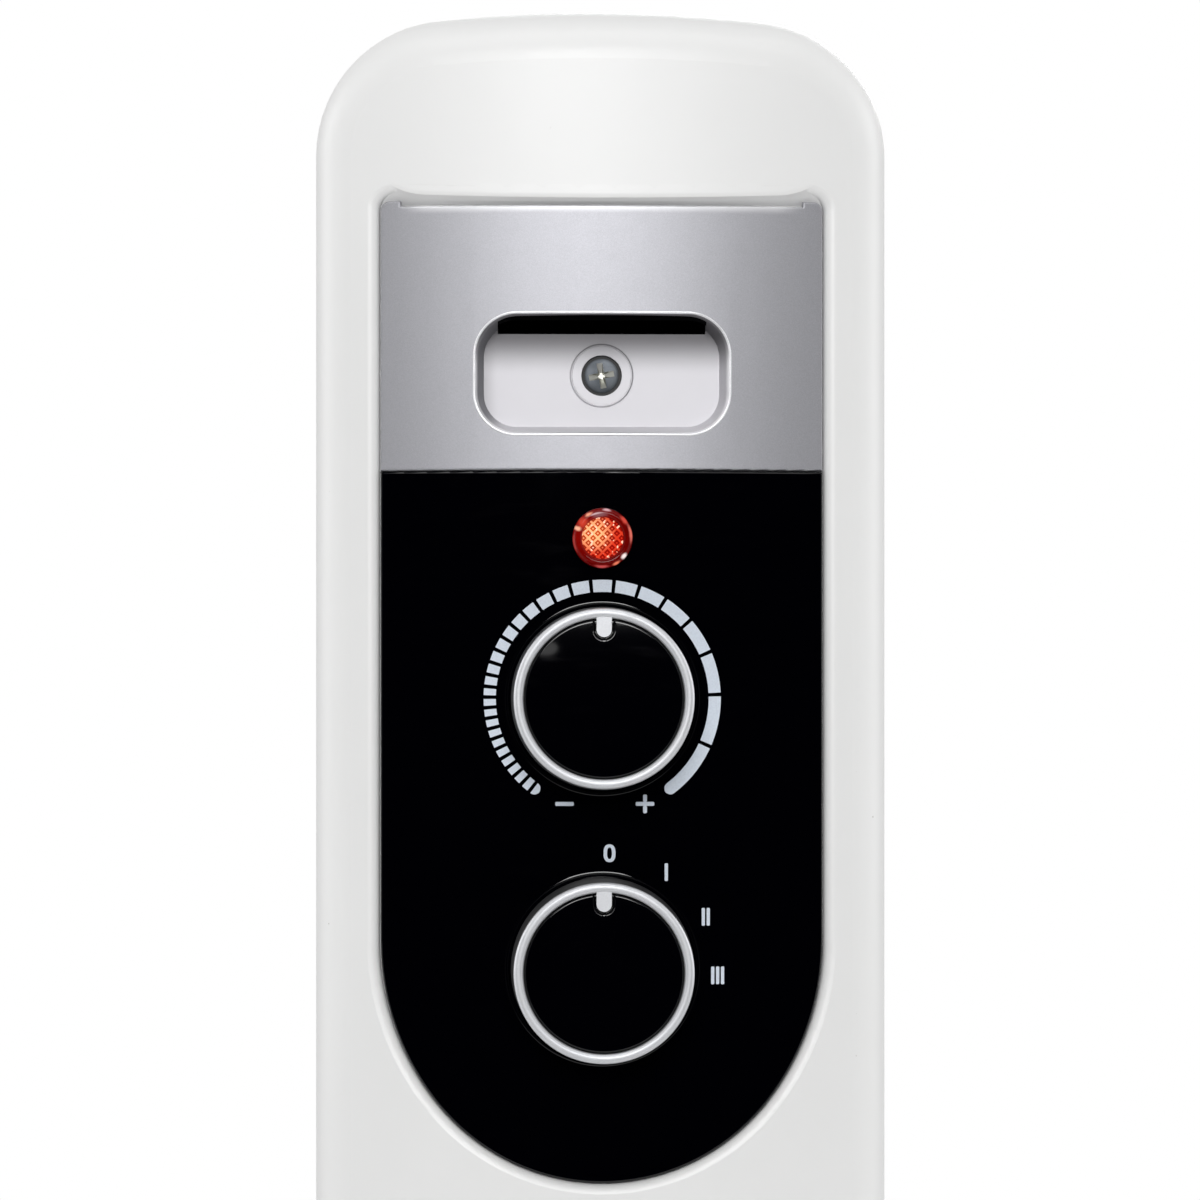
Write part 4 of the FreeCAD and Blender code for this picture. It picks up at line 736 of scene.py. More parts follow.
@dataclass(frozen=True)
class Glow(Finish):
    """Tinted lens plastic that the lamp behind it lights, brightest up and to the left of its middle."""

    colour: Colour
    lit: Colour
    dim: Colour
    reach: float
    strength: float = 1.0
    see_through: float = 0.0
    gloss: float = 0.35
    centre: Span = LAMP_SPOT
    core: float = 0.25
    fray: float = 1.2 * MM
    fray_grain: float = 900.0
    # Painted glints: sparks of reflected light on the lens's facets.
    glint: Colour = (1.0, 1.0, 1.0)
    glint_grain: float = 500.0
    glint_edge: Span = (1.0, 1.05)
    # Painted highlights on the rim.
    spots: tuple[RimHighlight, ...] = ()
    spot_fray: float = 0.5
    mottle_grain: float = 700.0
    roughness: float = 0.06
    wear_grain: float = 500.0
    wear: float = 0.05
    refraction: float = 1.49

    def distance(self, graph: Graph) -> Wire:
        """Adds the distance from the brightest place.

        Args:
            graph: The material's nodes.

        Returns:
            The distance.
        """
        place = graph.place()
        aside = graph.part_of(place, "X") - self.centre[0]
        above = graph.part_of(place, "Z") - self.centre[1]
        return graph.length(aside, above)

    def light(self, graph: Graph) -> Wire:
        """Adds the colour of the lamp's light, with painted glints and with the rim's painted highlights.

        Args:
            graph: The material's nodes.

        Returns:
            The colour.
        """
        far = self.distance(graph) + self.fray * graph.noise(self.fray_grain)
        fall = graph.smooth(far, self.core * self.reach, self.reach)
        # Painted glints of reflected light.
        spark = graph.smooth(graph.noise(self.glint_grain, detail=1.0), *self.glint_edge)
        light = graph.mix(spark, graph.mix(fall, self.lit, self.dim), self.glint)
        for spot in self.spots:
            ragged = self.spot_fray * graph.noise(self.mottle_grain) - self.spot_fray / 2
            light = graph.mix(spot.mask(graph, ragged), light, spot.colour)
        return light

    def shader(self, graph: Graph) -> Wire:
        """Adds the finish's shader.

        Args:
            graph: The material's nodes.

        Returns:
            The shader.
        """
        return graph.principled(
            Base_Color=graph.mix(graph.noise(self.mottle_grain), self.colour, self.dim),
            Roughness=self.roughness + self.wear * graph.noise(self.wear_grain),
            Emission_Color=self.light(graph),
            Emission_Strength=self.strength,
            Transmission_Weight=self.see_through,
            Specular_IOR_Level=self.gloss,
            IOR=self.refraction,
        )


# Painted highlights on the lens's rim: the white and grey ones paint reflections of the studio's lights,
# the red and coral ones paint the lamp's light where it leaves the rim.
RIM_PAINTED_HIGHLIGHTS = (
    RimHighlight(142.0, 6.4 * MM, 2.0 * MM, 1.7 * MM, (0.56, 0.05, 0.025)),
    RimHighlight(159.0, 6.7 * MM, 0.8 * MM, 1.3 * MM, (0.95, 0.5, 0.32)),
    RimHighlight(121.0, 6.9 * MM, 1.5 * MM, 0.6 * MM, (0.85, 0.38, 0.24)),
    RimHighlight(97.0, 6.0 * MM, 2.6 * MM, 0.9 * MM, (0.16, 0.09, 0.1)),
    RimHighlight(106.0, 6.4 * MM, 2.2 * MM, 0.4 * MM, (0.5, 0.36, 0.38)),
    RimHighlight(82.0, 7.2 * MM, 1.5 * MM, 0.5 * MM, (0.62, 0.4, 0.44)),
    RimHighlight(40.0, 7.0 * MM, 1.8 * MM, 0.8 * MM, (0.55, 0.06, 0.04)),
    RimHighlight(10.0, 7.2 * MM, 3.4 * MM, 0.6 * MM, (0.62, 0.14, 0.1)),
    RimHighlight(190.0, 7.35 * MM, 3.0 * MM, 0.4 * MM, (0.3, 0.035, 0.03)),
    RimHighlight(268.0, 7.25 * MM, 2.4 * MM, 0.5 * MM, (0.5, 0.07, 0.07)),
    RimHighlight(299.0, 7.25 * MM, 1.5 * MM, 0.5 * MM, (0.78, 0.2, 0.11)),
    RimHighlight(320.0, 7.1 * MM, 1.3 * MM, 0.75 * MM, (1.0, 0.9, 0.88)),
)
SLOT_FINISHES: tuple[Finish, ...] = (
    Enamel("cover_paint", (0.85, 0.85, 0.845), (0.83, 0.83, 0.825), 0.42, gloss=1.15),
    Enamel("fin_paint", (0.84, 0.84, 0.83), (0.81, 0.81, 0.8), 0.34, peel_depth=8e-6),
    Enamel("foot_paint", (0.83, 0.83, 0.82), (0.8, 0.8, 0.79), 0.36, peel_depth=8e-6),
    FasciaPaint("silver_paint", (0.388, 0.388, 0.413), (0.45, 0.45, 0.48), 0.45, 0.92),
    Polish("black_gloss", (0.0003, 0.0003, 0.001), 0.05, 0.4),
    Moulded("black_satin", (0.02, 0.02, 0.021), (0.027, 0.027, 0.028), 0.45, depth=3e-6),
    FlakePaint("knob_silver", (0.61, 0.62, 0.645), (0.69, 0.7, 0.725), 0.42, 0.5),
    Glow(
        "amber_lens",
        colour=(0.15, 0.002, 0.001),
        lit=(0.17, 0.002, 0.001),
        dim=(0.05, 0.0, 0.0),
        reach=9.0 * MM,
        gloss=0.12,
        spots=RIM_PAINTED_HIGHLIGHTS,
    ),
    Glow(
        "lamp_glass",
        colour=(0.9, 0.6, 0.4),
        lit=(1.0, 0.5, 0.2),
        dim=(0.8, 0.3, 0.1),
        reach=6.0 * MM,
        strength=1.5,
        see_through=0.7,
    ),
    Metal("zinc_steel", (0.68, 0.69, 0.69), (0.5, 0.51, 0.5), 0.22),
    Metal("dark_screw", (0.14, 0.152, 0.168), (0.085, 0.094, 0.105), 0.42),
    Metal("brass", (0.72, 0.53, 0.25), (0.5, 0.35, 0.16), 0.24),
    Metal("heater_sheath", (0.4, 0.38, 0.36), (0.25, 0.22, 0.2), 0.38),
    Moulded("control_plastic", (0.72, 0.68, 0.6), (0.66, 0.62, 0.54), 0.42),
    Metal("bimetal", (0.5, 0.45, 0.38), (0.36, 0.32, 0.28), 0.3),
    Moulded("lead_sleeve", (0.5, 0.5, 0.47), (0.42, 0.42, 0.4), 0.6, 1300.0, 3e-5),
    Moulded("inlet_rubber", (0.018, 0.018, 0.018), (0.03, 0.03, 0.03), 0.55, 1500.0),
    Moulded("castor_plastic", (0.02, 0.02, 0.021), (0.032, 0.032, 0.032), 0.42, 1800.0),
    Moulded("castor_tyre", (0.028, 0.028, 0.029), (0.05, 0.05, 0.049), 0.55, 1400.0),
)
FINISHES: dict[Slot, Finish] = {Slot(finish.name): finish for finish in SLOT_FINISHES}
# A paler copy of the silver paint, a painted highlight on the pocket's rolled edge.
PAINTED_HIGHLIGHT_EDGE = FlakePaint("painted_highlight_edge", (0.82, 0.82, 0.84), (0.92, 0.92, 0.94), 0.34, 0.8)
# Near-black finish for the pieces that paint the shadow in the finger slot.
SLOT_SHADOW_BLACK = Moulded("slot_shadow_black", (0.0006, 0.0006, 0.0008), (0.001, 0.001, 0.0012), 0.8, specular=0.03)
RECESS = Metal("screw_recess", (0.56, 0.56, 0.52), (0.42, 0.42, 0.39), 0.3)
INK = Ink("mark_ink", (0.7, 0.77, 0.86), (0.64, 0.7, 0.79))
# The waffle's ridges, lit by the lamp, with painted glints.
LENS_RIDGE = Glow(
    "lens_ridge",
    colour=(0.3, 0.06, 0.02),
    lit=(0.98, 0.56, 0.26),
    dim=(0.48, 0.016, 0.006),
    reach=6.4 * MM,
    gloss=0.3,
    glint=(1.0, 0.76, 0.55),
    glint_grain=900.0,
    glint_edge=(0.6, 0.65),
)
LENS_PIT = Glow(
    "lens_pit",
    colour=(0.2, 0.01, 0.004),
    lit=(0.5, 0.085, 0.016),
    dim=(0.2, 0.002, 0.001),
    reach=6.0 * MM,
)


def shade(mesh: bpy.types.Mesh, sharp: float) -> None:
    """Shades a mesh smooth, apart from the edges that turn by more degrees than sharp."""
    mesh.shade_smooth()
    mesh.set_sharp_from_angle(angle=math.radians(sharp))


class MeshBuilder:
    """Collects the faces of one new piece."""

    def __init__(self) -> None:
        """Starts with no faces."""
        self.bm = bmesh.new()

    def lathe(self, section: Sequence[Span], place: Matrix, steps: int) -> None:
        """Turns a closed or axis-to-axis section about a piece's own Z axis.

        Args:
            section: Radius and height of each corner.
            place: The piece's placement.
            steps: Steps in a full turn.
        """
        rings = []
        for radius, height in section:
            turns = full_turn(steps) if radius > TINY else [0.0]
            spots = [Vector((radius * math.cos(t), radius * math.sin(t), height)) for t in turns]
            rings.append([self.bm.verts.new(place @ spot) for spot in spots])
        for low, high in zip(rings, rings[1:]):
            for i in range(steps):
                ends = [(ring[i % len(ring)], ring[(i + 1) % len(ring)]) for ring in (low, high)]
                corners = [*ends[0], *reversed(ends[1])]
                self.bm.faces.new(list(dict.fromkeys(corners)))

    def loft(self, sections: Sequence[Sequence[Vector]], ring: bool = False) -> None:
        """Joins closed sections in a row.

        Args:
            sections: The corners of each section, as many in each.
            ring: Whether the last section joins the first; otherwise both ends are closed.
        """
        rows = [[self.bm.verts.new(spot) for spot in section] for section in sections]
        count = len(rows[0])
        for row, other in zip(rows, rows[1:] + (rows[:1] if ring else [])):
            for i in range(count):
                n = (i + 1) % count
                self.bm.faces.new((row[i], row[n], other[n], other[i]))
        if not ring:
            self.bm.faces.new(rows[0])
            self.bm.faces.new(rows[-1][::-1])

    def sweep(self, half: float, section: Callable[[float], list[Vector]], steps: int = 64) -> None:
        """Sweeps a closed section from the left side to the right.

        Args:
            half: Half the width.
            section: Returns the section's corners at a place across.
            steps: Steps from side to side.
        """
        self.loft([section(half * (2 * i / steps - 1)) for i in range(steps + 1)])

    def strip(self, pairs: Sequence[Pair], sink: Vector, closed: bool = False) -> None:
        """Adds a thin slab whose front runs between two edges.

        Args:
            pairs: Points on the two edges of the front.
            sink: From the front to the back.
            closed: Whether the last pair joins the first.
        """
        self.loft([(first, second, second + sink, first + sink) for first, second in pairs], closed)

    def mesh(self, name: str, sharp: Optional[float] = None) -> bpy.types.Mesh:
        """Finishes the mesh, with all its faces turned outwards.

        Args:
            name: The mesh's name.
            sharp: Edges that turn by more degrees stay sharp; without it, every face is flat.

        Returns:
            The mesh.
        """
        bmesh.ops.remove_doubles(self.bm, verts=self.bm.verts, dist=TINY)
        bmesh.ops.recalc_face_normals(self.bm, faces=self.bm.faces)
        mesh = bpy.data.meshes.new(name)
        self.bm.to_mesh(mesh)
        self.bm.free()
        if sharp is not None:
            shade(mesh, sharp)
        return mesh


def add_piece(
    mesh: bpy.types.Mesh,
    slot: Slot,
    finishes: Sequence[Finish] = (),
    body: str = MAIN_BODY,
    stands_for: Sequence[str] = (),
) -> None:
    """Adds a new piece to the radiator, named as its mesh.

    Args:
        mesh: Its mesh, in the radiator's frame.
        slot: The record's slot that it takes its finish from.
        finishes: Its finishes by its faces' material numbers, where they aren't the slot's own.
        body: The body that it rides on.
        stands_for: Nodes that it replaces.
    """
    piece = bpy.data.objects.new(mesh.name, mesh)
    bpy.context.scene.collection.objects.link(piece)
    for finish in finishes or [FINISHES[slot]]:
        mesh.materials.append(finish.material())
    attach(piece, body)
    if stands_for:
        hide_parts(*stands_for)
    LOG.info("built %s on %s", piece.name, body)


def solids(node: str) -> list[Pair]:
    """Finds the separate solids of a node.

    Args:
        node: The node's name.

    Returns:
        The lowest and highest corner of each solid.
    """
    bm = bmesh.new()
    bm.from_mesh(frame["nodes"][node].data)
    bmesh.ops.remove_doubles(bm, verts=bm.verts, dist=WELD)
    left = set(bm.verts)
    found = []
    while left:
        reached = set()
        todo = [left.pop()]
        while todo:
            spot = todo.pop()
            reached.add(spot)
            near = [edge.other_vert(spot) for edge in spot.link_edges]
            todo.extend(v for v in near if v in left)
            left.difference_update(near)
        axes = list(zip(*(v.co for v in reached)))
        found.append((Vector([min(axis) for axis in axes]), Vector([max(axis) for axis in axes])))
    bm.free()
    return sorted(found, key=lambda corners: tuple(corners[0]))


def cut_away(mesh: bpy.types.Mesh, tool: bpy.types.Mesh) -> bpy.types.Mesh:
    """Takes one closed mesh out of another.

    Args:
        mesh: What is cut.
        tool: What is taken away.

    Returns:
        What is left.
    """
    pair = [bpy.data.objects.new(m.name, m) for m in (mesh, tool)]
    for item in pair:
        bpy.context.scene.collection.objects.link(item)
    cutter = pair[0].modifiers.new("cut", "BOOLEAN")
    cutter.operation = "DIFFERENCE"
    cutter.solver = "EXACT"
    cutter.object = pair[1]
    bpy.context.view_layer.update()
    left = bpy.data.meshes.new_from_object(pair[0].evaluated_get(bpy.context.evaluated_depsgraph_get()))
    for item in pair:
        bpy.data.objects.remove(item)
    return left


class Buildable(Protocol):
    """What an assembly builds besides its nodes."""

    def build(self) -> None:
        """Builds its pieces."""


@dataclass
class Assembly:
    """Nodes that belong together and keep their own shape."""

    nodes: tuple[str, ...]

    def build(self) -> None:
        """Gives each node the finish of its slot."""
        for node in self.nodes:
            mesh = frame["nodes"][node].data
            mesh.materials.clear()
            mesh.materials.append(FINISHES[Slot(SLOT_OF_NODE[node])].material())
            LOG.info("dressed %s", node)


@dataclass
class FinStack(Assembly):
    """The fins with the weld beads between their collars."""

    plugs: str = "rear_header_plugs"
    bead: float = 1.1 * MM
    bead_sink: float = 0.3
    bead_spread: float = 1.4
    bead_sides: int = 8
    ripple: float = 0.16 * MM
    ripples: int = 46
    ripple_steps: int = 4

    def build(self) -> None:
        """Dresses the fins and lays the weld beads."""
        super().build()
        builder = MeshBuilder()
        for low, high in solids(self.plugs):
            radius = (high.x - low.x) / 2
            level = (low.z + high.z) / 2
            for fin in nodes_named("fin_"):
                self.lay_bead(builder, Vector((0.0, node_box(fin)[1].y, level)), radius)
        add_piece(builder.mesh("header_weld_beads", sharp=60.0), Slot.FIN_PAINT)

    def lay_bead(self, builder: MeshBuilder, spot: Vector, radius: float) -> None:
        """Lays one rippled bead round a collar.

        Args:
            builder: What collects the beads.
            spot: The middle of the joint.
            radius: The collar's radius.
        """
        rows = []
        for turn in full_turn(self.ripple_steps * self.ripples):
            swell = self.bead + self.ripple * math.sin(self.ripples * turn)
            row = []
            for bend in full_turn(self.bead_sides):
                reach = radius - self.bead_sink * self.bead + swell * math.cos(bend)
                along = self.bead_spread * swell * math.sin(bend)
                row.append(spot + Vector((reach * math.cos(turn), along, reach * math.sin(turn))))
            rows.append(row)
        builder.loft(rows, ring=True)


@dataclass
class CrossScrew:
    """A round-headed screw with a cross recess."""

    head: float
    thick: float
    shank: float
    length: float
    recess: float
    slot: float
    depth: float
    dome: float = 0.4
    dome_rows: int = 9
    dome_power: float = 0.8
    turn: float = 10.0
    blade: tuple[Triple, ...] = ((0.0, 1.0, 1.0), (0.3, 0.8, 0.9))
    blade_tip: float = 0.4
    recess_floor: float = 0.95
    recess_face: float = 0.9

    def mesh(self, name: str) -> bpy.types.Mesh:
        """Builds the screw about its own Z axis, with the head's crest at 0.

        Args:
            name: The mesh's name.

        Returns:
            The mesh, whose recess has the second finish.
        """
        section = []
        for i in range(self.dome_rows):
            rise = math.radians(90 - 90 * i / self.dome_rows)
            fall = self.dome * self.thick * (1 - math.sin(rise))
            section.append((self.head * math.cos(rise) ** self.dome_power, -fall))
        section += [(self.head, -self.thick), (self.shank, -self.thick)]
        section += [(self.shank, -self.length), (0.0, -self.length)]
        builder = MeshBuilder()
        builder.lathe(section, Matrix.Identity(4), steps=64)
        mesh = builder.mesh(name + "_blank")
        for turn in (self.turn, self.turn + 90):
            mesh = cut_away(mesh, self.wing(Matrix.Rotation(math.radians(turn), 4, "Z")))
        mesh.name = name
        shade(mesh, sharp=30.0)
        self.mark_recess(mesh)
        return mesh

    def mark_recess(self, mesh: bpy.types.Mesh) -> None:
        """Gives the faces of the cross recess the second finish.

        Args:
            mesh: The screw's mesh.
        """
        for face in mesh.polygons:
            spot = face.center
            within = math.hypot(spot.x, spot.y) < self.recess and spot.z > -self.recess_floor * self.thick
            if within and (face.normal.z < self.recess_face or spot.z < -self.depth / 2):
                face.material_index = 1

    def wing(self, place: Matrix) -> bpy.types.Mesh:
        """Builds the tapered blade that cuts one slot of the cross.

        Args:
            place: The blade's turn about the screw's axis.

        Returns:
            The blade's mesh.
        """
        half = self.slot / 2
        levels = [(self.thick, self.recess, half)]
        for deep, long, wide in self.blade:
            levels.append((-deep * self.depth, long * self.recess, wide * half))
        levels.append((-self.depth, half, self.blade_tip * half))
        sections = []
        for height, reach, wide in levels:
            spots = [(-reach, -wide), (reach, -wide), (reach, wide), (-reach, wide)]
            sections.append([place @ Vector((x, y, height)) for x, y in spots])
        tool = MeshBuilder()
        tool.loft(sections)
        return tool.mesh("cross_blade")


@dataclass
class ControlHousing(Assembly):
    """The white cover, its back plate and side screws."""

    screws: str = "cover_screws"
    screw_proud: float = 0.4 * MM
    head_thick: float = 1.9 * MM
    shank_share: float = 0.5
    recess_share: float = 0.62
    slot_share: float = 0.26
    recess_depth: float = 1.3 * MM

    def build(self) -> None:
        """Dresses the housing and builds its side screws, whose heads lie almost flush."""
        super().build()
        side = node_box("front_cover")[1].x + self.screw_proud
        boxes = solids(self.screws)
        low, high = boxes[0]
        head = (high.z - low.z) / 2
        maker = CrossScrew(
            head=head,
            thick=self.head_thick,
            shank=self.shank_share * head,
            length=high.x - low.x,
            recess=self.recess_share * head,
            slot=self.slot_share * head,
            depth=self.recess_depth,
        )
        pattern = maker.mesh("cover_screw")
        for number, (low, high) in enumerate(boxes):
            spot = (low + high) / 2
            spot.x = math.copysign(side, spot.x)
            mesh = pattern.copy()
            mesh.name = f"cover_screw_{number + 1}"
            mesh.transform((Axis.LEFT if spot.x < 0 else Axis.RIGHT).at(spot))
            stands_for = [self.screws] if number == 0 else []
            add_piece(mesh, Slot.ZINC_STEEL, [FINISHES[Slot.ZINC_STEEL], RECESS], stands_for=stands_for)


@dataclass
class PocketScrew:
    """The screw in the grip pocket, with a black ring that paints the shade in its well, and the rounded
    edge of its boss.
    """

    node: str = "fascia_screw"
    thick: float = 2.4 * MM
    shank: float = 2.0 * MM
    dome: float = 0.15
    recess_share: float = 0.76
    slot_share: float = 0.35
    recess_depth: float = 1.9 * MM
    well: float = 5.15 * MM
    # Black ring at the bottom of the well, which paints the well's shade.
    well_shade_share: float = 0.93
    well_shade_levels: Span = (-0.9 * MM, -0.6 * MM)
    pocket_floor: float = 10 * MM
    boss: float = 7.9 * MM
    boss_proud: float = 0.5 * MM
    boss_back: float = 0.8 * MM
    boss_curb: float = 0.4 * MM
    boss_crest: tuple[Span, ...] = (
        (-0.3 * MM, 0.1 * MM),
        (-0.12 * MM, 0.1 * MM),
        (0.02 * MM, 0.0),
        (0.1 * MM, -0.2 * MM),
        (0.14 * MM, -0.42 * MM),
        (0.3 * MM, -0.5 * MM),
    )

    def build(self) -> None:
        """Builds the screw and the two rings round it."""
        low, high = node_box(self.node)
        place = Axis.FRONT.at(Vector((0.0, low.y, POCKET_LEVEL)))
        head = (high.x - low.x) / 2
        self.build_screw(place, head, high.y - low.y)
        self.build_well_shade(place, head)
        self.build_boss_edge(place)

    def build_screw(self, place: Matrix, head: float, length: float) -> None:
        """Builds the screw.

        Args:
            place: The screw's placement, at the crest of its head.
            head: The radius of its head.
            length: Its length.
        """
        maker = CrossScrew(
            head=head,
            thick=self.thick,
            shank=self.shank,
            length=length,
            recess=self.recess_share * head,
            slot=self.slot_share * head,
            depth=self.recess_depth,
            dome=self.dome,
        )
        mesh = maker.mesh("fascia_screw_crossed")
        mesh.transform(place)
        add_piece(mesh, Slot.DARK_SCREW, [FINISHES[Slot.DARK_SCREW], RECESS], stands_for=[self.node])

    def build_well_shade(self, place: Matrix, head: float) -> None:
        """Builds a black ring at the bottom of the screw's well, a painted shade of the well.

        Args:
            place: The screw's placement, at the crest of its head.
            head: The radius of its head.
        """
        low, high = self.well_shade_levels
        inner = self.well_shade_share * head
        section = [(inner, low), (self.well, low), (self.well, high), (inner, high), (inner, low)]
        builder = MeshBuilder()
        builder.lathe(section, place, steps=64)
        add_piece(builder.mesh("screw_well_shade", sharp=35.0), Slot.BLACK_SATIN)

    def build_boss_edge(self, place: Matrix) -> None:
        """Builds the rounded edge of the boss under the screw.

        Args:
            place: The screw's placement, at the crest of its head.
        """
        top = front(self.node) - front("fascia") - self.pocket_floor + self.boss_proud
        foot = top - self.boss_back
        inner = self.boss - self.boss_curb
        outer = self.boss + self.boss_crest[-1][0]
        section = [(inner, top)]
        section += [(self.boss + across, top + up) for across, up in self.boss_crest]
        section += [(outer, foot), (inner, foot), (inner, top)]
        builder = MeshBuilder()
        builder.lathe(section, place, steps=96)
        add_piece(builder.mesh("screw_boss_edge", sharp=50.0), Slot.SILVER_PAINT)


@dataclass
class BrowLip:
    """The cover's turned-in lip over the fascia, which bows up to the cover's rounded corners."""

    half: float = 56 * MM
    rise: float = 3.4 * MM
    face_share: float = 0.6
    skin: float = 0.03 * MM
    edge: float = 1.55 * MM
    edge_bow: float = 1.35 * MM
    corner_fade: float = 11 * MM
    corner_lift: float = 3.2 * MM
    foot: float = 0.1 * MM
    foot_bow: float = 0.35 * MM
    bow_half: float = 50.4 * MM
    back: float = 2.3 * MM
    back_lean: float = 0.1 * MM
    nose: tuple[Span, ...] = ((0.0, 0.3 * MM), (0.1 * MM, 0.08 * MM), (0.33 * MM, 0.0))

    def build(self) -> None:
        """Builds the lip."""
        builder = MeshBuilder()
        builder.sweep(self.half, self.section)
        add_piece(builder.mesh("cover_brow_lip", sharp=40.0), Slot.COVER_PAINT)

    def section(self, across: float) -> list[Vector]:
        """Finds the lip's section.

        Args:
            across: Its place across.

        Returns:
            Its corners.
        """
        near = max(0.0, 1 - (self.half - abs(across)) / self.corner_fade)
        bow = (across / self.bow_half) ** 2
        edge = self.edge + self.edge_bow * bow + self.corner_lift * near * near
        foot = self.foot + self.foot_bow * bow
        head = edge + self.rise
        face = -COVER_PROUD - self.skin
        corners = [(face + 2 * self.skin, head), (face, head - self.face_share * self.rise)]
        corners += [(face + behind, edge + up) for behind, up in self.nose]
        corners += [(self.back, foot), (self.back + self.back_lean, head)]
        return [on_drum("fascia", across, behind, FASCIA_HEAD + up) for behind, up in corners]


@dataclass
class PocketRoll:
    """The rolled edge round the mouth of the grip pocket, in a paler silver that paints a highlight on
    it.
    """

    out: float = 0.3 * MM
    radius: float = 0.38 * MM
    sink: float = 0.6
    sides: int = 12
    steps: int = 24

    def build(self) -> None:
        """Builds the roll."""
        rows = []
        for spot, out in self.path():
            row = []
            for bend in full_turn(self.sides):
                place = spot + self.radius * math.cos(bend) * out
                behind = self.radius * (self.sink - math.sin(bend))
                row.append(on_drum("fascia", place.x, behind, POCKET_LEVEL + place.y))
            rows.append(row)
        builder = MeshBuilder()
        builder.loft(rows, ring=True)
        # The paler silver paints a highlight along the roll.
        add_piece(builder.mesh("pocket_mouth_roll", sharp=60.0), Slot.SILVER_PAINT, [PAINTED_HIGHLIGHT_EDGE])

    def path(self) -> list[Pair]:
        """Finds the line of the roll, a rounded rectangle.

        Returns:
            Points from the middle of the mouth, each with its way out.
        """
        corner = POCKET_CORNER + self.out
        wide, high = (half - POCKET_CORNER for half in POCKET_HALF)
        path = []
        for quarter, (right, top) in enumerate(((1, 1), (-1, 1), (-1, -1), (1, -1))):
            centre = Vector((right * wide, top * high))
            for i in range(self.steps + 1):
                turn = math.radians(90 * quarter + 90 * i / self.steps)
                out = Vector((math.cos(turn), math.sin(turn)))
                path.append((centre + corner * out, out))
            last, out = path[-1]
            following = Vector((-top * wide, right * high)) + corner * out
            path += [(last.lerp(following, i / self.steps), out) for i in range(1, self.steps)]
        return path


@dataclass
class FingerSlot:
    """Black pieces that paint the shadow in the finger slot above the grip pocket: a liner under its
    upper wall and a sheet far behind it.
    """

    half: float = 26.5 * MM
    front_set: float = 0.3 * MM
    front_rise: float = 0.05 * MM
    bend_set: float = 1.1 * MM
    back_set: float = 5.4 * MM
    gap: float = 0.14 * MM
    thick: float = 0.25 * MM
    wall_slope: float = 11.0
    sheet_half: float = 34 * MM
    sheet_levels: Span = (7.5 * MM, 22.5 * MM)
    sheet_set: float = 24.6 * MM
    sheet_thick: float = 0.5 * MM

    def build(self) -> None:
        """Builds the liner and the sheet, both painted shadow."""
        liner = MeshBuilder()
        liner.sweep(self.half, self.section)
        add_piece(liner.mesh("slot_shadow_hood", sharp=40.0), Slot.BLACK_SATIN, [SLOT_SHADOW_BLACK])
        deep = front("fascia") + self.sheet_set
        low, high = (POCKET_LEVEL + up for up in self.sheet_levels)
        sides = (-self.sheet_half, self.sheet_half)
        sheet = MeshBuilder()
        pairs = [(Vector((x, deep, low)), Vector((x, deep, high))) for x in sides]
        sheet.strip(pairs, Vector((0.0, self.sheet_thick, 0.0)))
        add_piece(sheet.mesh("slot_shade"), Slot.BLACK_SATIN, [SLOT_SHADOW_BLACK])

    def section(self, across: float) -> list[Vector]:
        """Finds the liner's section, close under the pocket's sloped and rounded upper wall.

        Args:
            across: Its place across.

        Returns:
            Its corners.
        """
        level = POCKET_LEVEL + POCKET_HALF[1] - POCKET_CORNER
        past = max(0.0, abs(across) - (POCKET_HALF[0] - POCKET_CORNER))
        fall = math.tan(math.radians(self.wall_slope))
        face = front("front_cover")
        sets = (self.front_set, self.bend_set)
        first, bend = (on_drum("fascia", across, behind, level).y for behind in sets)
        back = front("fascia") + self.back_set
        rows = [(first, 0.0, -self.front_rise)]
        rows += [(deep, deep - face, self.gap) for deep in (bend, back)]
        under = []
        for deep, behind_face, gap in rows:
            bow = math.sqrt((POCKET_CORNER - behind_face * fall) ** 2 - past**2)
            under.append(Vector((across, deep, level + bow - gap)))
        above = [spot + Vector((0.0, 0.0, self.thick)) for spot in reversed(under)]
        return under + above


@dataclass
class GripFascia(Assembly):
    """The silver fascia with the screw and the trim of its grip pocket, and the cover's lip above it."""

    trim: tuple[Buildable, ...] = (PocketScrew(), BrowLip(), PocketRoll(), FingerSlot())

    def build(self) -> None:
        """Dresses the fascia and builds its trim."""
        super().build()
        for piece in self.trim:
            piece.build()


@dataclass
class PanelPrint:
    """Ink on the panel's face, a little proud of it."""

    proud: float = 0.03 * MM
    sink: float = 1.5
    corner_share: float = 0.2

    def at(self, across: float, up: float) -> Vector:
        """Returns the point of the ink's face at a place across and up."""
        return on_drum("control_panel", across, -self.proud, up)

    def add_mark(self, name: str, strokes: Sequence[Stroke]) -> None:
        """Adds a printed mark.

        Args:
            name: The mark's name.
            strokes: Edge points of its strokes, and whether each stroke is closed.
        """
        builder = MeshBuilder()
        for pairs, closed in strokes:
            builder.strip(pairs, Vector((0.0, self.sink * self.proud, 0.0)), closed)
        add_piece(builder.mesh(name), Slot.KNOB_SILVER, [INK])

    def stroke(self, spot: Span, wide: float, high: float) -> Stroke:
        """Draws an upright bar with soft corners.

        Args:
            spot: Its middle.
            wide: Its width.
            high: Its height.

        Returns:
            Its edge points, not closed.
        """
        half = wide / 2
        soft = self.corner_share * min(wide, high)
        inner = 1 - 2 * soft / high
        edges = []
        for share, reach in ((-1, half - soft), (-inner, half), (inner, half), (1, half - soft)):
            level = spot[1] + share * high / 2
            edges.append((self.at(spot[0] - reach, level), self.at(spot[0] + reach, level)))
        return edges, False


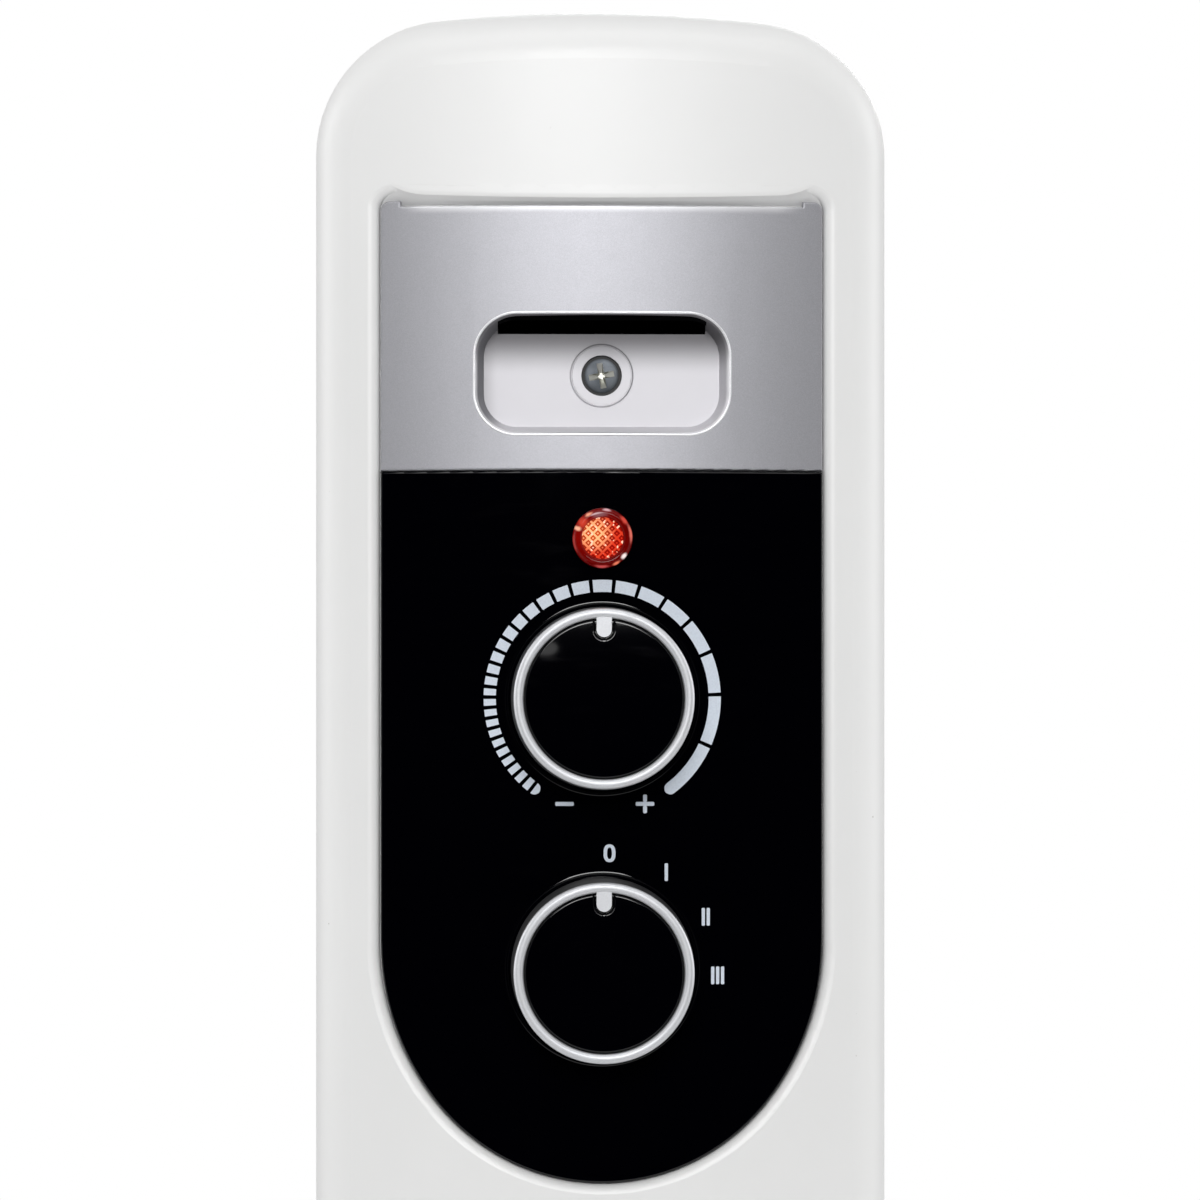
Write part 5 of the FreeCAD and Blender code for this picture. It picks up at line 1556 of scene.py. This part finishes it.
@dataclass
class HeatScale(PanelPrint):
    """The ring of marks round the thermostat's knob, with a minus and a plus at its ends."""

    dial: str = "thermostat_knob"
    inner: float = 27.0 * MM
    outer: float = 30.1 * MM
    end: float = 146.0
    gap: float = 1.9
    blunt: float = 0.2
    least_steps: int = 4
    even_marks: int = 12
    even_pitch: float = 5.2
    growing_marks: int = 18
    first_rate: float = 0.17
    rate_drop: float = 0.0082
    sign_half: float = 2.35 * MM
    sign_stroke: float = 1.0 * MM
    minus_spot: Span = (-9.6 * MM, -26.7 * MM)
    plus_spot: Span = (10.8 * MM, -26.7 * MM)

    def build(self) -> None:
        """Prints the scale and its signs."""
        level = middle(self.dial).z
        self.print_scale(level)
        self.print_signs(level)

    def edges(self) -> list[Span]:
        """Works out the scale's marks, which first keep their length and then grow.

        Returns:
            The start and end of each mark, in degrees clockwise from the top.
        """
        steps = [self.even_pitch] * self.even_marks
        steps += [1 / (self.first_rate - self.rate_drop * i) for i in range(self.growing_marks)]
        stretch = (2 * self.end + self.gap) / sum(steps)
        edges = []
        start = -self.end
        for step in steps:
            edges.append((start, start + stretch * step - self.gap))
            start += stretch * step
        return edges

    def end_reach(self, half: float, left: float) -> float:
        """Works out half the width of the scale near one of its round ends.

        Args:
            half: Half the width elsewhere.
            left: The way along the scale to its end.

        Returns:
            Half the width here.
        """
        short = max(0.0, half - left)
        return math.sqrt(max(half**2 - short**2, (self.blunt * half) ** 2))

    def print_scale(self, level: float) -> None:
        """Prints the marks, round at both ends of the scale.

        Args:
            level: The height of the scale's middle.
        """
        half = (self.outer - self.inner) / 2
        mean = (self.outer + self.inner) / 2
        edges = self.edges()
        strokes = []
        for start, end in edges:
            count = max(self.least_steps, round(end - start))
            pairs = []
            for i in range(count + 1):
                angle = start + (end - start) * i / count
                ends = [math.radians(angle - edges[0][0]), math.radians(edges[-1][1] - angle)]
                reach = min(self.end_reach(half, mean * left) for left in ends)
                turn = math.radians(angle)
                radii = (mean - reach, mean + reach)
                inner, outer = (self.at(r * math.sin(turn), level + r * math.cos(turn)) for r in radii)
                pairs.append((inner, outer))
            strokes.append((pairs, False))
        self.add_mark("thermostat_scale", strokes)

    def print_signs(self, level: float) -> None:
        """Prints the minus and the plus.

        Args:
            level: The height of the scale's middle.
        """
        wide, thin = 2 * self.sign_half, self.sign_stroke
        minus, plus = ((across, level + up) for across, up in (self.minus_spot, self.plus_spot))
        self.add_mark("minus_mark", [self.stroke(minus, wide, thin)])
        arm = self.sign_half - thin / 2
        off = (self.sign_half + thin / 2) / 2
        arms = [self.stroke((plus[0], plus[1] + side * off), thin, arm) for side in (-1, 1)]
        self.add_mark("plus_mark", [self.stroke(plus, wide, thin), *arms])


@dataclass
class SwitchMarks(PanelPrint):
    """The marks 0, I, II and III round the switch's knob."""

    dial: str = "switch_knob"
    positions: int = 4
    radius: float = 29.35 * MM
    start: float = 3.5
    step: float = 30.0
    high: float = 4.5 * MM
    bar: float = 0.84 * MM
    bar_pitch: float = 1.26 * MM
    zero_half: float = 1.52 * MM
    zero_stroke: float = 0.92 * MM
    zero_thin: float = 0.85
    zero_power: float = 0.8
    zero_steps: int = 40

    def build(self) -> None:
        """Prints the marks."""
        level = middle(self.dial).z
        for number in range(self.positions):
            turn = math.radians(self.start + number * self.step)
            across, up = self.radius * math.sin(turn), level + self.radius * math.cos(turn)
            shifts = [(i - (number - 1) / 2) * self.bar_pitch for i in range(number)]
            strokes = [self.stroke((across + shift, up), self.bar, self.high) for shift in shifts]
            self.add_mark(f"switch_mark_{number}", strokes or [self.zero((across, up))])

    def zero(self, spot: Span) -> Stroke:
        """Draws a bold oval nought.

        Args:
            spot: Its middle.

        Returns:
            Its edge points, closed.
        """
        wide, high = self.zero_half, self.high / 2
        inner_wide, inner_high = wide - self.zero_stroke, high - self.zero_thin * self.zero_stroke
        pairs = []
        for turn in full_turn(self.zero_steps):
            bends = (math.sin(turn), math.cos(turn))
            across, up = (math.copysign(abs(bend) ** self.zero_power, bend) for bend in bends)
            inner = self.at(spot[0] + across * inner_wide, spot[1] + up * inner_high)
            pairs.append((inner, self.at(spot[0] + across * wide, spot[1] + up * high)))
        return pairs, True


@dataclass
class ControlPanel(Assembly):
    """The black panel with a low rim round each knob and with its printed marks."""

    dials: tuple[str, ...] = ("thermostat_knob", "switch_knob")
    rim_radius: float = 24.3 * MM
    rim_half: float = 0.4 * MM
    rim_height: float = 0.07 * MM
    rim_root: float = -0.6
    rim_shares: tuple[float, ...] = (-1.0, -0.7, -0.35, 0.0, 0.35, 0.7, 1.0)
    rim_steps: int = 144
    prints: tuple[Buildable, ...] = (HeatScale(), SwitchMarks())

    def build(self) -> None:
        """Dresses the panel, moulds its rims and prints its marks."""
        super().build()
        self.mould_rims()
        for marks in self.prints:
            marks.build()

    def mould_rims(self) -> None:
        """Moulds a low rim into the panel round each knob."""
        builder = MeshBuilder()
        profile = [(share, 1 - share * share) for share in self.rim_shares]
        profile += [(1.0, self.rim_root), (-1.0, self.rim_root)]
        for dial in self.dials:
            level = middle(dial).z
            rows = []
            for turn in full_turn(self.rim_steps):
                row = []
                for share, height in profile:
                    reach = self.rim_radius + share * self.rim_half
                    across, up = reach * math.sin(turn), level + reach * math.cos(turn)
                    row.append(on_drum("control_panel", across, -height * self.rim_height, up))
                rows.append(row)
            builder.loft(rows, ring=True)
        add_piece(builder.mesh("panel_dial_rims", sharp=35.0), Slot.BLACK_GLOSS)


@dataclass
class SignalLamp(Assembly):
    """The lamp: a thick tinted rim round a waffle of small pits."""

    lens: str = "lamp_lens"
    rim_inner: float = 5.25 * MM
    rim_crest: float = 6.2 * MM
    rim_foot: float = 0.1 * MM
    rim_rows: int = 10
    rim_slope: tuple[Span, ...] = ((0.35 * MM, 0.12 * MM), (0.08 * MM, 0.42 * MM))
    stem: float = 6.3 * MM
    dish: float = 1.0 * MM
    waffle: float = 5.9 * MM
    waffle_tilt: float = 45.0
    pitch: float = 1.7 * MM
    pitch_past: float = 0.4
    ridge: float = 0.52 * MM
    dot: float = 0.34 * MM
    pit_depth: float = 0.75 * MM
    floor_depth: float = 1.6 * MM

    def build(self) -> None:
        """Dresses the bulb and builds the lens."""
        super().build()
        low, high = node_box(self.lens)
        panel = front("control_panel")
        proud = panel - low.y
        place = Axis.FRONT.at(Vector((0.0, panel, LENS_LEVEL)))
        self.build_rim(place, (high.x - low.x) / 2, proud, panel - high.y)
        self.build_waffle(place, proud - self.dish)

    def build_rim(self, place: Matrix, radius: float, proud: float, back: float) -> None:
        """Builds the rim with the tube behind it.

        Args:
            place: The lens's placement on the panel's face.
            radius: Outer radius.
            proud: How far the rim stands out.
            back: How deep the tube reaches, below zero.
        """
        roll = radius - self.rim_crest
        section = [(self.stem, back), (self.stem, self.rim_foot), (radius, self.rim_foot)]
        for i in range(self.rim_rows + 1):
            turn = math.radians(90 * i / self.rim_rows)
            section.append((radius - roll + roll * math.cos(turn), proud - roll + roll * math.sin(turn)))
        section += [(self.rim_inner + out, proud - down) for out, down in self.rim_slope]
        section += [(self.rim_inner, proud - self.dish), (self.rim_inner, back), (self.stem, back)]
        builder = MeshBuilder()
        builder.lathe(section, place, steps=96)
        add_piece(builder.mesh("lamp_lens_rim", sharp=50.0), Slot.AMBER_LENS, stands_for=[self.lens])

    def build_waffle(self, place: Matrix, level: float) -> None:
        """Builds the waffle of pits inside the rim.

        Args:
            place: The lens's placement.
            level: Its ridges above the panel's face.
        """
        builder = MeshBuilder()
        tilt = Matrix.Rotation(math.radians(self.waffle_tilt), 4, "Z")
        count = math.ceil(self.stem / self.pitch) + 1
        for i in range(-count, count + 1):
            for j in range(-count, count + 1):
                spot = tilt @ Vector((i * self.pitch, j * self.pitch, 0.0))
                if spot.length <= self.waffle + self.pitch_past * self.pitch:
                    self.add_pit(builder.bm, place @ Matrix.Translation((0.0, 0.0, level)), tilt, spot)
        self.close_back(builder.bm, place)
        add_piece(builder.mesh("lamp_lens_waffle"), Slot.AMBER_LENS, [LENS_RIDGE, LENS_PIT])

    def add_pit(self, bm: bmesh.types.BMesh, place: Matrix, tilt: Matrix, spot: Vector) -> None:
        """Adds one pit with its half of the ridges round it, held inside the rim.

        Args:
            bm: What collects the faces.
            place: The placement of the ridges' level.
            tilt: The turn of the waffle.
            spot: The pit's middle.
        """
        halves = (self.pitch / 2, (self.pitch - self.ridge) / 2, self.dot / 2)
        rings = []
        for half, drop in zip(halves, (0.0, 0.0, self.pit_depth)):
            ring = []
            for x, y in ((-half, -half), (half, -half), (half, half), (-half, half)):
                corner = spot + tilt @ Vector((x, y, 0.0))
                corner *= min(1.0, self.waffle / max(corner.length, TINY))
                ring.append(bm.verts.new(place @ (corner - Vector((0.0, 0.0, drop)))))
            rings.append(ring)
        for number, (outer, inner) in enumerate(zip(rings, rings[1:])):
            for k in range(4):
                n = (k + 1) % 4
                face = bm.faces.new((outer[k], outer[n], inner[n], inner[k]))
                face.material_index = number
        bm.faces.new(rings[-1])

    def close_back(self, bm: bmesh.types.BMesh, place: Matrix) -> None:
        """Joins the pits and closes the waffle with sides and a back.

        Args:
            bm: The pits' faces.
            place: The lens's placement.
        """
        bmesh.ops.remove_doubles(bm, verts=bm.verts, dist=WELD)
        rim = [edge for edge in bm.edges if edge.is_boundary]
        grown = bmesh.ops.extrude_edge_only(bm, edges=rim)["geom"]
        sink = place.to_3x3() @ Vector((0.0, 0.0, -self.floor_depth))
        bmesh.ops.translate(bm, verts=[v for v in grown if isinstance(v, bmesh.types.BMVert)], vec=sink)
        bmesh.ops.holes_fill(bm, edges=[edge for edge in bm.edges if edge.is_boundary])


@dataclass
class Knob(Assembly):
    """A knob with a domed gloss cap, which is notched round the pointer."""

    cap: str = ""
    body: str = ""
    edge: float = 0.4 * MM
    crown: float = 0.8 * MM
    lift: float = 0.25 * MM
    pointer_round: float = 17.3 * MM
    notch_half: float = 2.3 * MM
    notch_edge: float = 0.5 * MM
    notch_depth: float = 0.9 * MM
    fine_sector: float = 24.0
    fine_step: float = 0.4
    coarse_step: float = 2.0
    inner_share: float = 14 / 24
    inner_rings: int = 14
    outer_rings: int = 50

    def build(self) -> None:
        """Dresses the knob and builds its cap."""
        super().build()
        low, high = node_box(self.cap)
        place = Axis.FRONT.at(Vector((0.0, low.y - self.lift, middle(self.nodes[0]).z)))
        self.build_cap(place, high.x, high.y - low.y)

    def height(self, across: float, up: float, radius: float) -> float:
        """Works out how far the cap's face lies below its crest.

        Args:
            across: Place across the cap.
            up: Place towards the pointer.
            radius: The cap's radius.

        Returns:
            The height, 0 or less.
        """
        reach = math.hypot(across, up)
        fall = self.crown * (reach / radius) ** 2
        outside = max(0.0, reach - radius + self.edge) / self.edge
        fall += self.edge * (1 - math.sqrt(max(0.0, 1 - min(outside, 1.0) ** 2)))
        away = abs(across) if up > self.pointer_round else math.hypot(across, up - self.pointer_round)
        share = min(1.0, max(0.0, 1 - (away - self.notch_half) / self.notch_edge))
        return -(fall + self.notch_depth * share * share * (3 - 2 * share))

    def turns(self) -> list[float]:
        """Works out the steps round the cap, which are finer about its notch.

        Returns:
            Angles from the pointer, in radians.
        """
        sector = self.fine_sector
        fine = round(2 * sector / self.fine_step)
        coarse = round((360 - 2 * sector) / self.coarse_step)
        degrees = [-sector + self.fine_step * i for i in range(fine)]
        degrees += [sector + self.coarse_step * i for i in range(coarse)]
        return [math.radians(angle) for angle in degrees]

    def build_cap(self, place: Matrix, radius: float, depth: float) -> None:
        """Builds the cap, with a fine mesh about its notch.

        Args:
            place: The cap's placement at its crest.
            radius: Its radius.
            depth: Its depth behind the crest.
        """
        first = self.inner_share * radius
        reaches = [first * i / self.inner_rings for i in range(1, self.inner_rings + 1)]
        rest = radius - first
        reaches += [first + rest * i / self.outer_rings for i in range(1, self.outer_rings + 1)]
        turns = self.turns()
        rings = []
        for reach in reaches:
            spots = [(reach * math.sin(turn), reach * math.cos(turn)) for turn in turns]
            rings.append([Vector((across, up, self.height(across, up, radius))) for across, up in spots])
        rings.append([Vector((spot.x, spot.y, -depth)) for spot in rings[-1]])
        builder = MeshBuilder()
        bm = builder.bm
        crest = bm.verts.new(place @ Vector((0.0, 0.0, 0.0)))
        rows = [[bm.verts.new(place @ spot) for spot in ring] for ring in rings]
        for i in range(len(turns)):
            n = (i + 1) % len(turns)
            bm.faces.new((crest, rows[0][i], rows[0][n]))
            for row, other in zip(rows, rows[1:]):
                bm.faces.new((row[i], other[i], other[n], row[n]))
        bm.faces.new(rows[-1])
        mesh = builder.mesh(self.cap + "_domed", sharp=40.0)
        add_piece(mesh, Slot.BLACK_GLOSS, body=self.body, stands_for=[self.cap])


@dataclass(frozen=True)
class Softbox:
    """A soft lamp that shines at the radiator."""

    name: str
    spot: Triple
    aim: Triple
    wide: float
    high: float
    watts: float
    shape: LampShape = LampShape.RECTANGLE

    def build(self) -> None:
        """Hangs the lamp, which the camera doesn't see."""
        data = bpy.data.lights.new(self.name, "AREA")
        data.shape = self.shape.value
        data.size, data.size_y = self.wide, self.high
        data.energy = self.watts
        lamp = bpy.data.objects.new(self.name, data)
        bpy.context.scene.collection.objects.link(lamp)
        lamp.location = self.spot
        lamp.rotation_euler = (Vector(self.aim) - Vector(self.spot)).to_track_quat("-Z", "Y").to_euler()
        lamp.visible_camera = False
        LOG.info("hung %s", self.name)


@dataclass
class Studio:
    """White background, pale floor, soft lamps and the photograph's camera."""

    camera_distance: float = 1.2
    camera_left: float = 0.027
    camera_height: float = 0.47
    sensor_width: float = 36.0
    frame_width: float = 0.304
    frame_middle: float = 0.48976
    frame_side: float = -0.00062
    floor_radius: float = 1.7
    floor_fade: Span = (0.45, 0.98)
    floor_rings: int = 8
    floor_colour: Colour = (0.9, 0.9, 0.9)
    floor_roughness: float = 0.9
    floor_gloss: float = 0.1
    ambient: float = 0.3
    dark_room: Span = (0.45, 0.82)
    lamps: tuple[Softbox, ...] = (
        Softbox("key_softbox", (-0.08, -2.7, 1.3), (0.0, -0.15, 0.48), 1.15, 0.75, 34.0),
        Softbox("top_softbox", (0.0, -0.75, 1.75), (0.0, -0.1, 0.6), 1.0, 0.6, 3.2),
        Softbox("left_softbox", (-1.8, 0.2, 0.9), (0.0, 0.0, 0.4), 0.8, 1.2, 7.0),
        Softbox("right_softbox", (1.8, 0.2, 0.9), (0.0, 0.0, 0.4), 0.8, 1.2, 7.0),
        Softbox("rear_softbox", (0.6, 1.9, 1.5), (0.0, 0.1, 0.35), 1.2, 0.8, 18.0),
        Softbox(
            "window_reflection",
            (-0.165, -1.6, 0.63),
            (0.0, -0.2, 0.46),
            0.08,
            0.05,
            0.016,
            LampShape.ELLIPSE,
        ),
    )

    def build(self) -> None:
        """Sets up everything round the radiator."""
        bpy.context.scene.view_settings.view_transform = "Standard"
        self.light_world()
        self.lay_floor()
        self.set_camera()
        for lamp in self.lamps:
            lamp.build()

    def light_world(self) -> None:
        """Lights softly all round and shows white, apart from a dark room in reflections."""
        world = bpy.data.worlds.new("studio")
        bpy.context.scene.world = world
        world.use_nodes = True
        graph = Graph(world.node_tree)
        way = graph.node("ShaderNodeTexCoord", output="Generated")
        room = graph.smooth(-1.0 * graph.part_of(way, "Y"), *self.dark_room)
        rays = [f"Is {kind} Ray" for kind in ("Camera", "Glossy", "Transmission")]
        camera, glossy, through = (graph.node("ShaderNodeLightPath", output=ray) for ray in rays)
        levels = [{"Color": (1.0,) * 4, "Strength": level} for level in (0.0, 1.0, self.ambient)]
        dark, white, soft = (graph.node("ShaderNodeBackground", None, level) for level in levels)
        bright = camera + (glossy + through) * (1 - room)
        shown = graph.node("ShaderNodeMixShader", None, {0: bright, 1: dark, 2: white})
        both = graph.node("ShaderNodeMixShader", None, {0: camera + glossy + through, 1: soft, 2: shown})
        graph.node("ShaderNodeOutputWorld", None, {"Surface": both})

    def lay_floor(self) -> None:
        """Lays a round pale floor that fades out at its edge."""
        builder = MeshBuilder()
        rings = [(self.floor_radius * i / self.floor_rings, 0.0) for i in range(self.floor_rings + 1)]
        builder.lathe(rings, Matrix.Identity(4), steps=96)
        mesh = builder.mesh("studio_floor")
        floor = bpy.data.objects.new("studio_floor", mesh)
        bpy.context.scene.collection.objects.link(floor)
        paint = bpy.data.materials.new("studio_floor")
        paint.use_nodes = True
        graph = Graph(paint.node_tree)
        place = graph.place()
        far = graph.length(graph.part_of(place, "X"), graph.part_of(place, "Y"))
        fade = graph.smooth(far, *(share * self.floor_radius for share in self.floor_fade))
        matte = graph.principled(
            Base_Color=(*self.floor_colour, 1.0),
            Roughness=self.floor_roughness,
            Specular_IOR_Level=self.floor_gloss,
        )
        clear = graph.node("ShaderNodeBsdfTransparent")
        graph.surface(graph.node("ShaderNodeMixShader", None, {0: fade, 1: matte, 2: clear}))
        mesh.materials.append(paint)
        LOG.info("laid %s", floor.name)

    def set_camera(self) -> None:
        """Sets the camera where the photograph was taken from."""
        aim = Vector((0.0, front("control_panel"), self.camera_height))
        spot = aim + Vector((-self.camera_left, -self.camera_distance, 0.0))
        data = bpy.data.cameras.new("photo_camera")
        data.sensor_width = self.sensor_width
        data.lens = self.sensor_width * (aim - spot).length / self.frame_width
        data.shift_x = self.frame_side / self.frame_width
        data.shift_y = (self.frame_middle - self.camera_height) / self.frame_width
        camera = bpy.data.objects.new("photo_camera", data)
        bpy.context.scene.collection.objects.link(camera)
        camera.location = spot
        camera.rotation_euler = (aim - spot).to_track_quat("-Z", "Y").to_euler()
        bpy.context.scene.camera = camera
        LOG.info("set %s", camera.name)


def knob(control: str) -> Knob:
    """Returns the knob of a control, which turns with its spindle."""
    nodes = (f"{control}_knob", f"{control}_knob_ring", f"{control}_spindle")
    return Knob(nodes, cap=f"{control}_knob_cap", body=f"{control}_dial")


def main() -> None:
    """Builds the radiator's looks and the studio round it."""
    logging.basicConfig(level=logging.INFO, format="%(message)s")
    assemblies: list[Assembly] = [
        FinStack(nodes_named("fin_") + ("rear_header_plugs", "top_header_plug", "top_fixing_nut")),
        Assembly(nodes_named("heater_")),
        ControlHousing(("front_cover", "back_plate", "cord_inlet_bush")),
        GripFascia(("fascia", "fascia_strap")),
        ControlPanel(("control_panel",)),
        SignalLamp(("lamp_bulb",)),
        knob("thermostat"),
        knob("switch"),
        Assembly(("thermostat_body", "thermostat_bimetal", "control_nuts")),
        Assembly(("switch_body", "switch_terminals")),
        Assembly(("thermal_cutout", "terminal_block", "inner_leads")),
        Assembly(("front_foot", "rear_foot", "foot_hooks", "wing_nuts")),
        Assembly(nodes_named("castor_")),
    ]
    for assembly in assemblies:
        assembly.build()
    Studio().build()


if __name__ == "__main__":
    main()
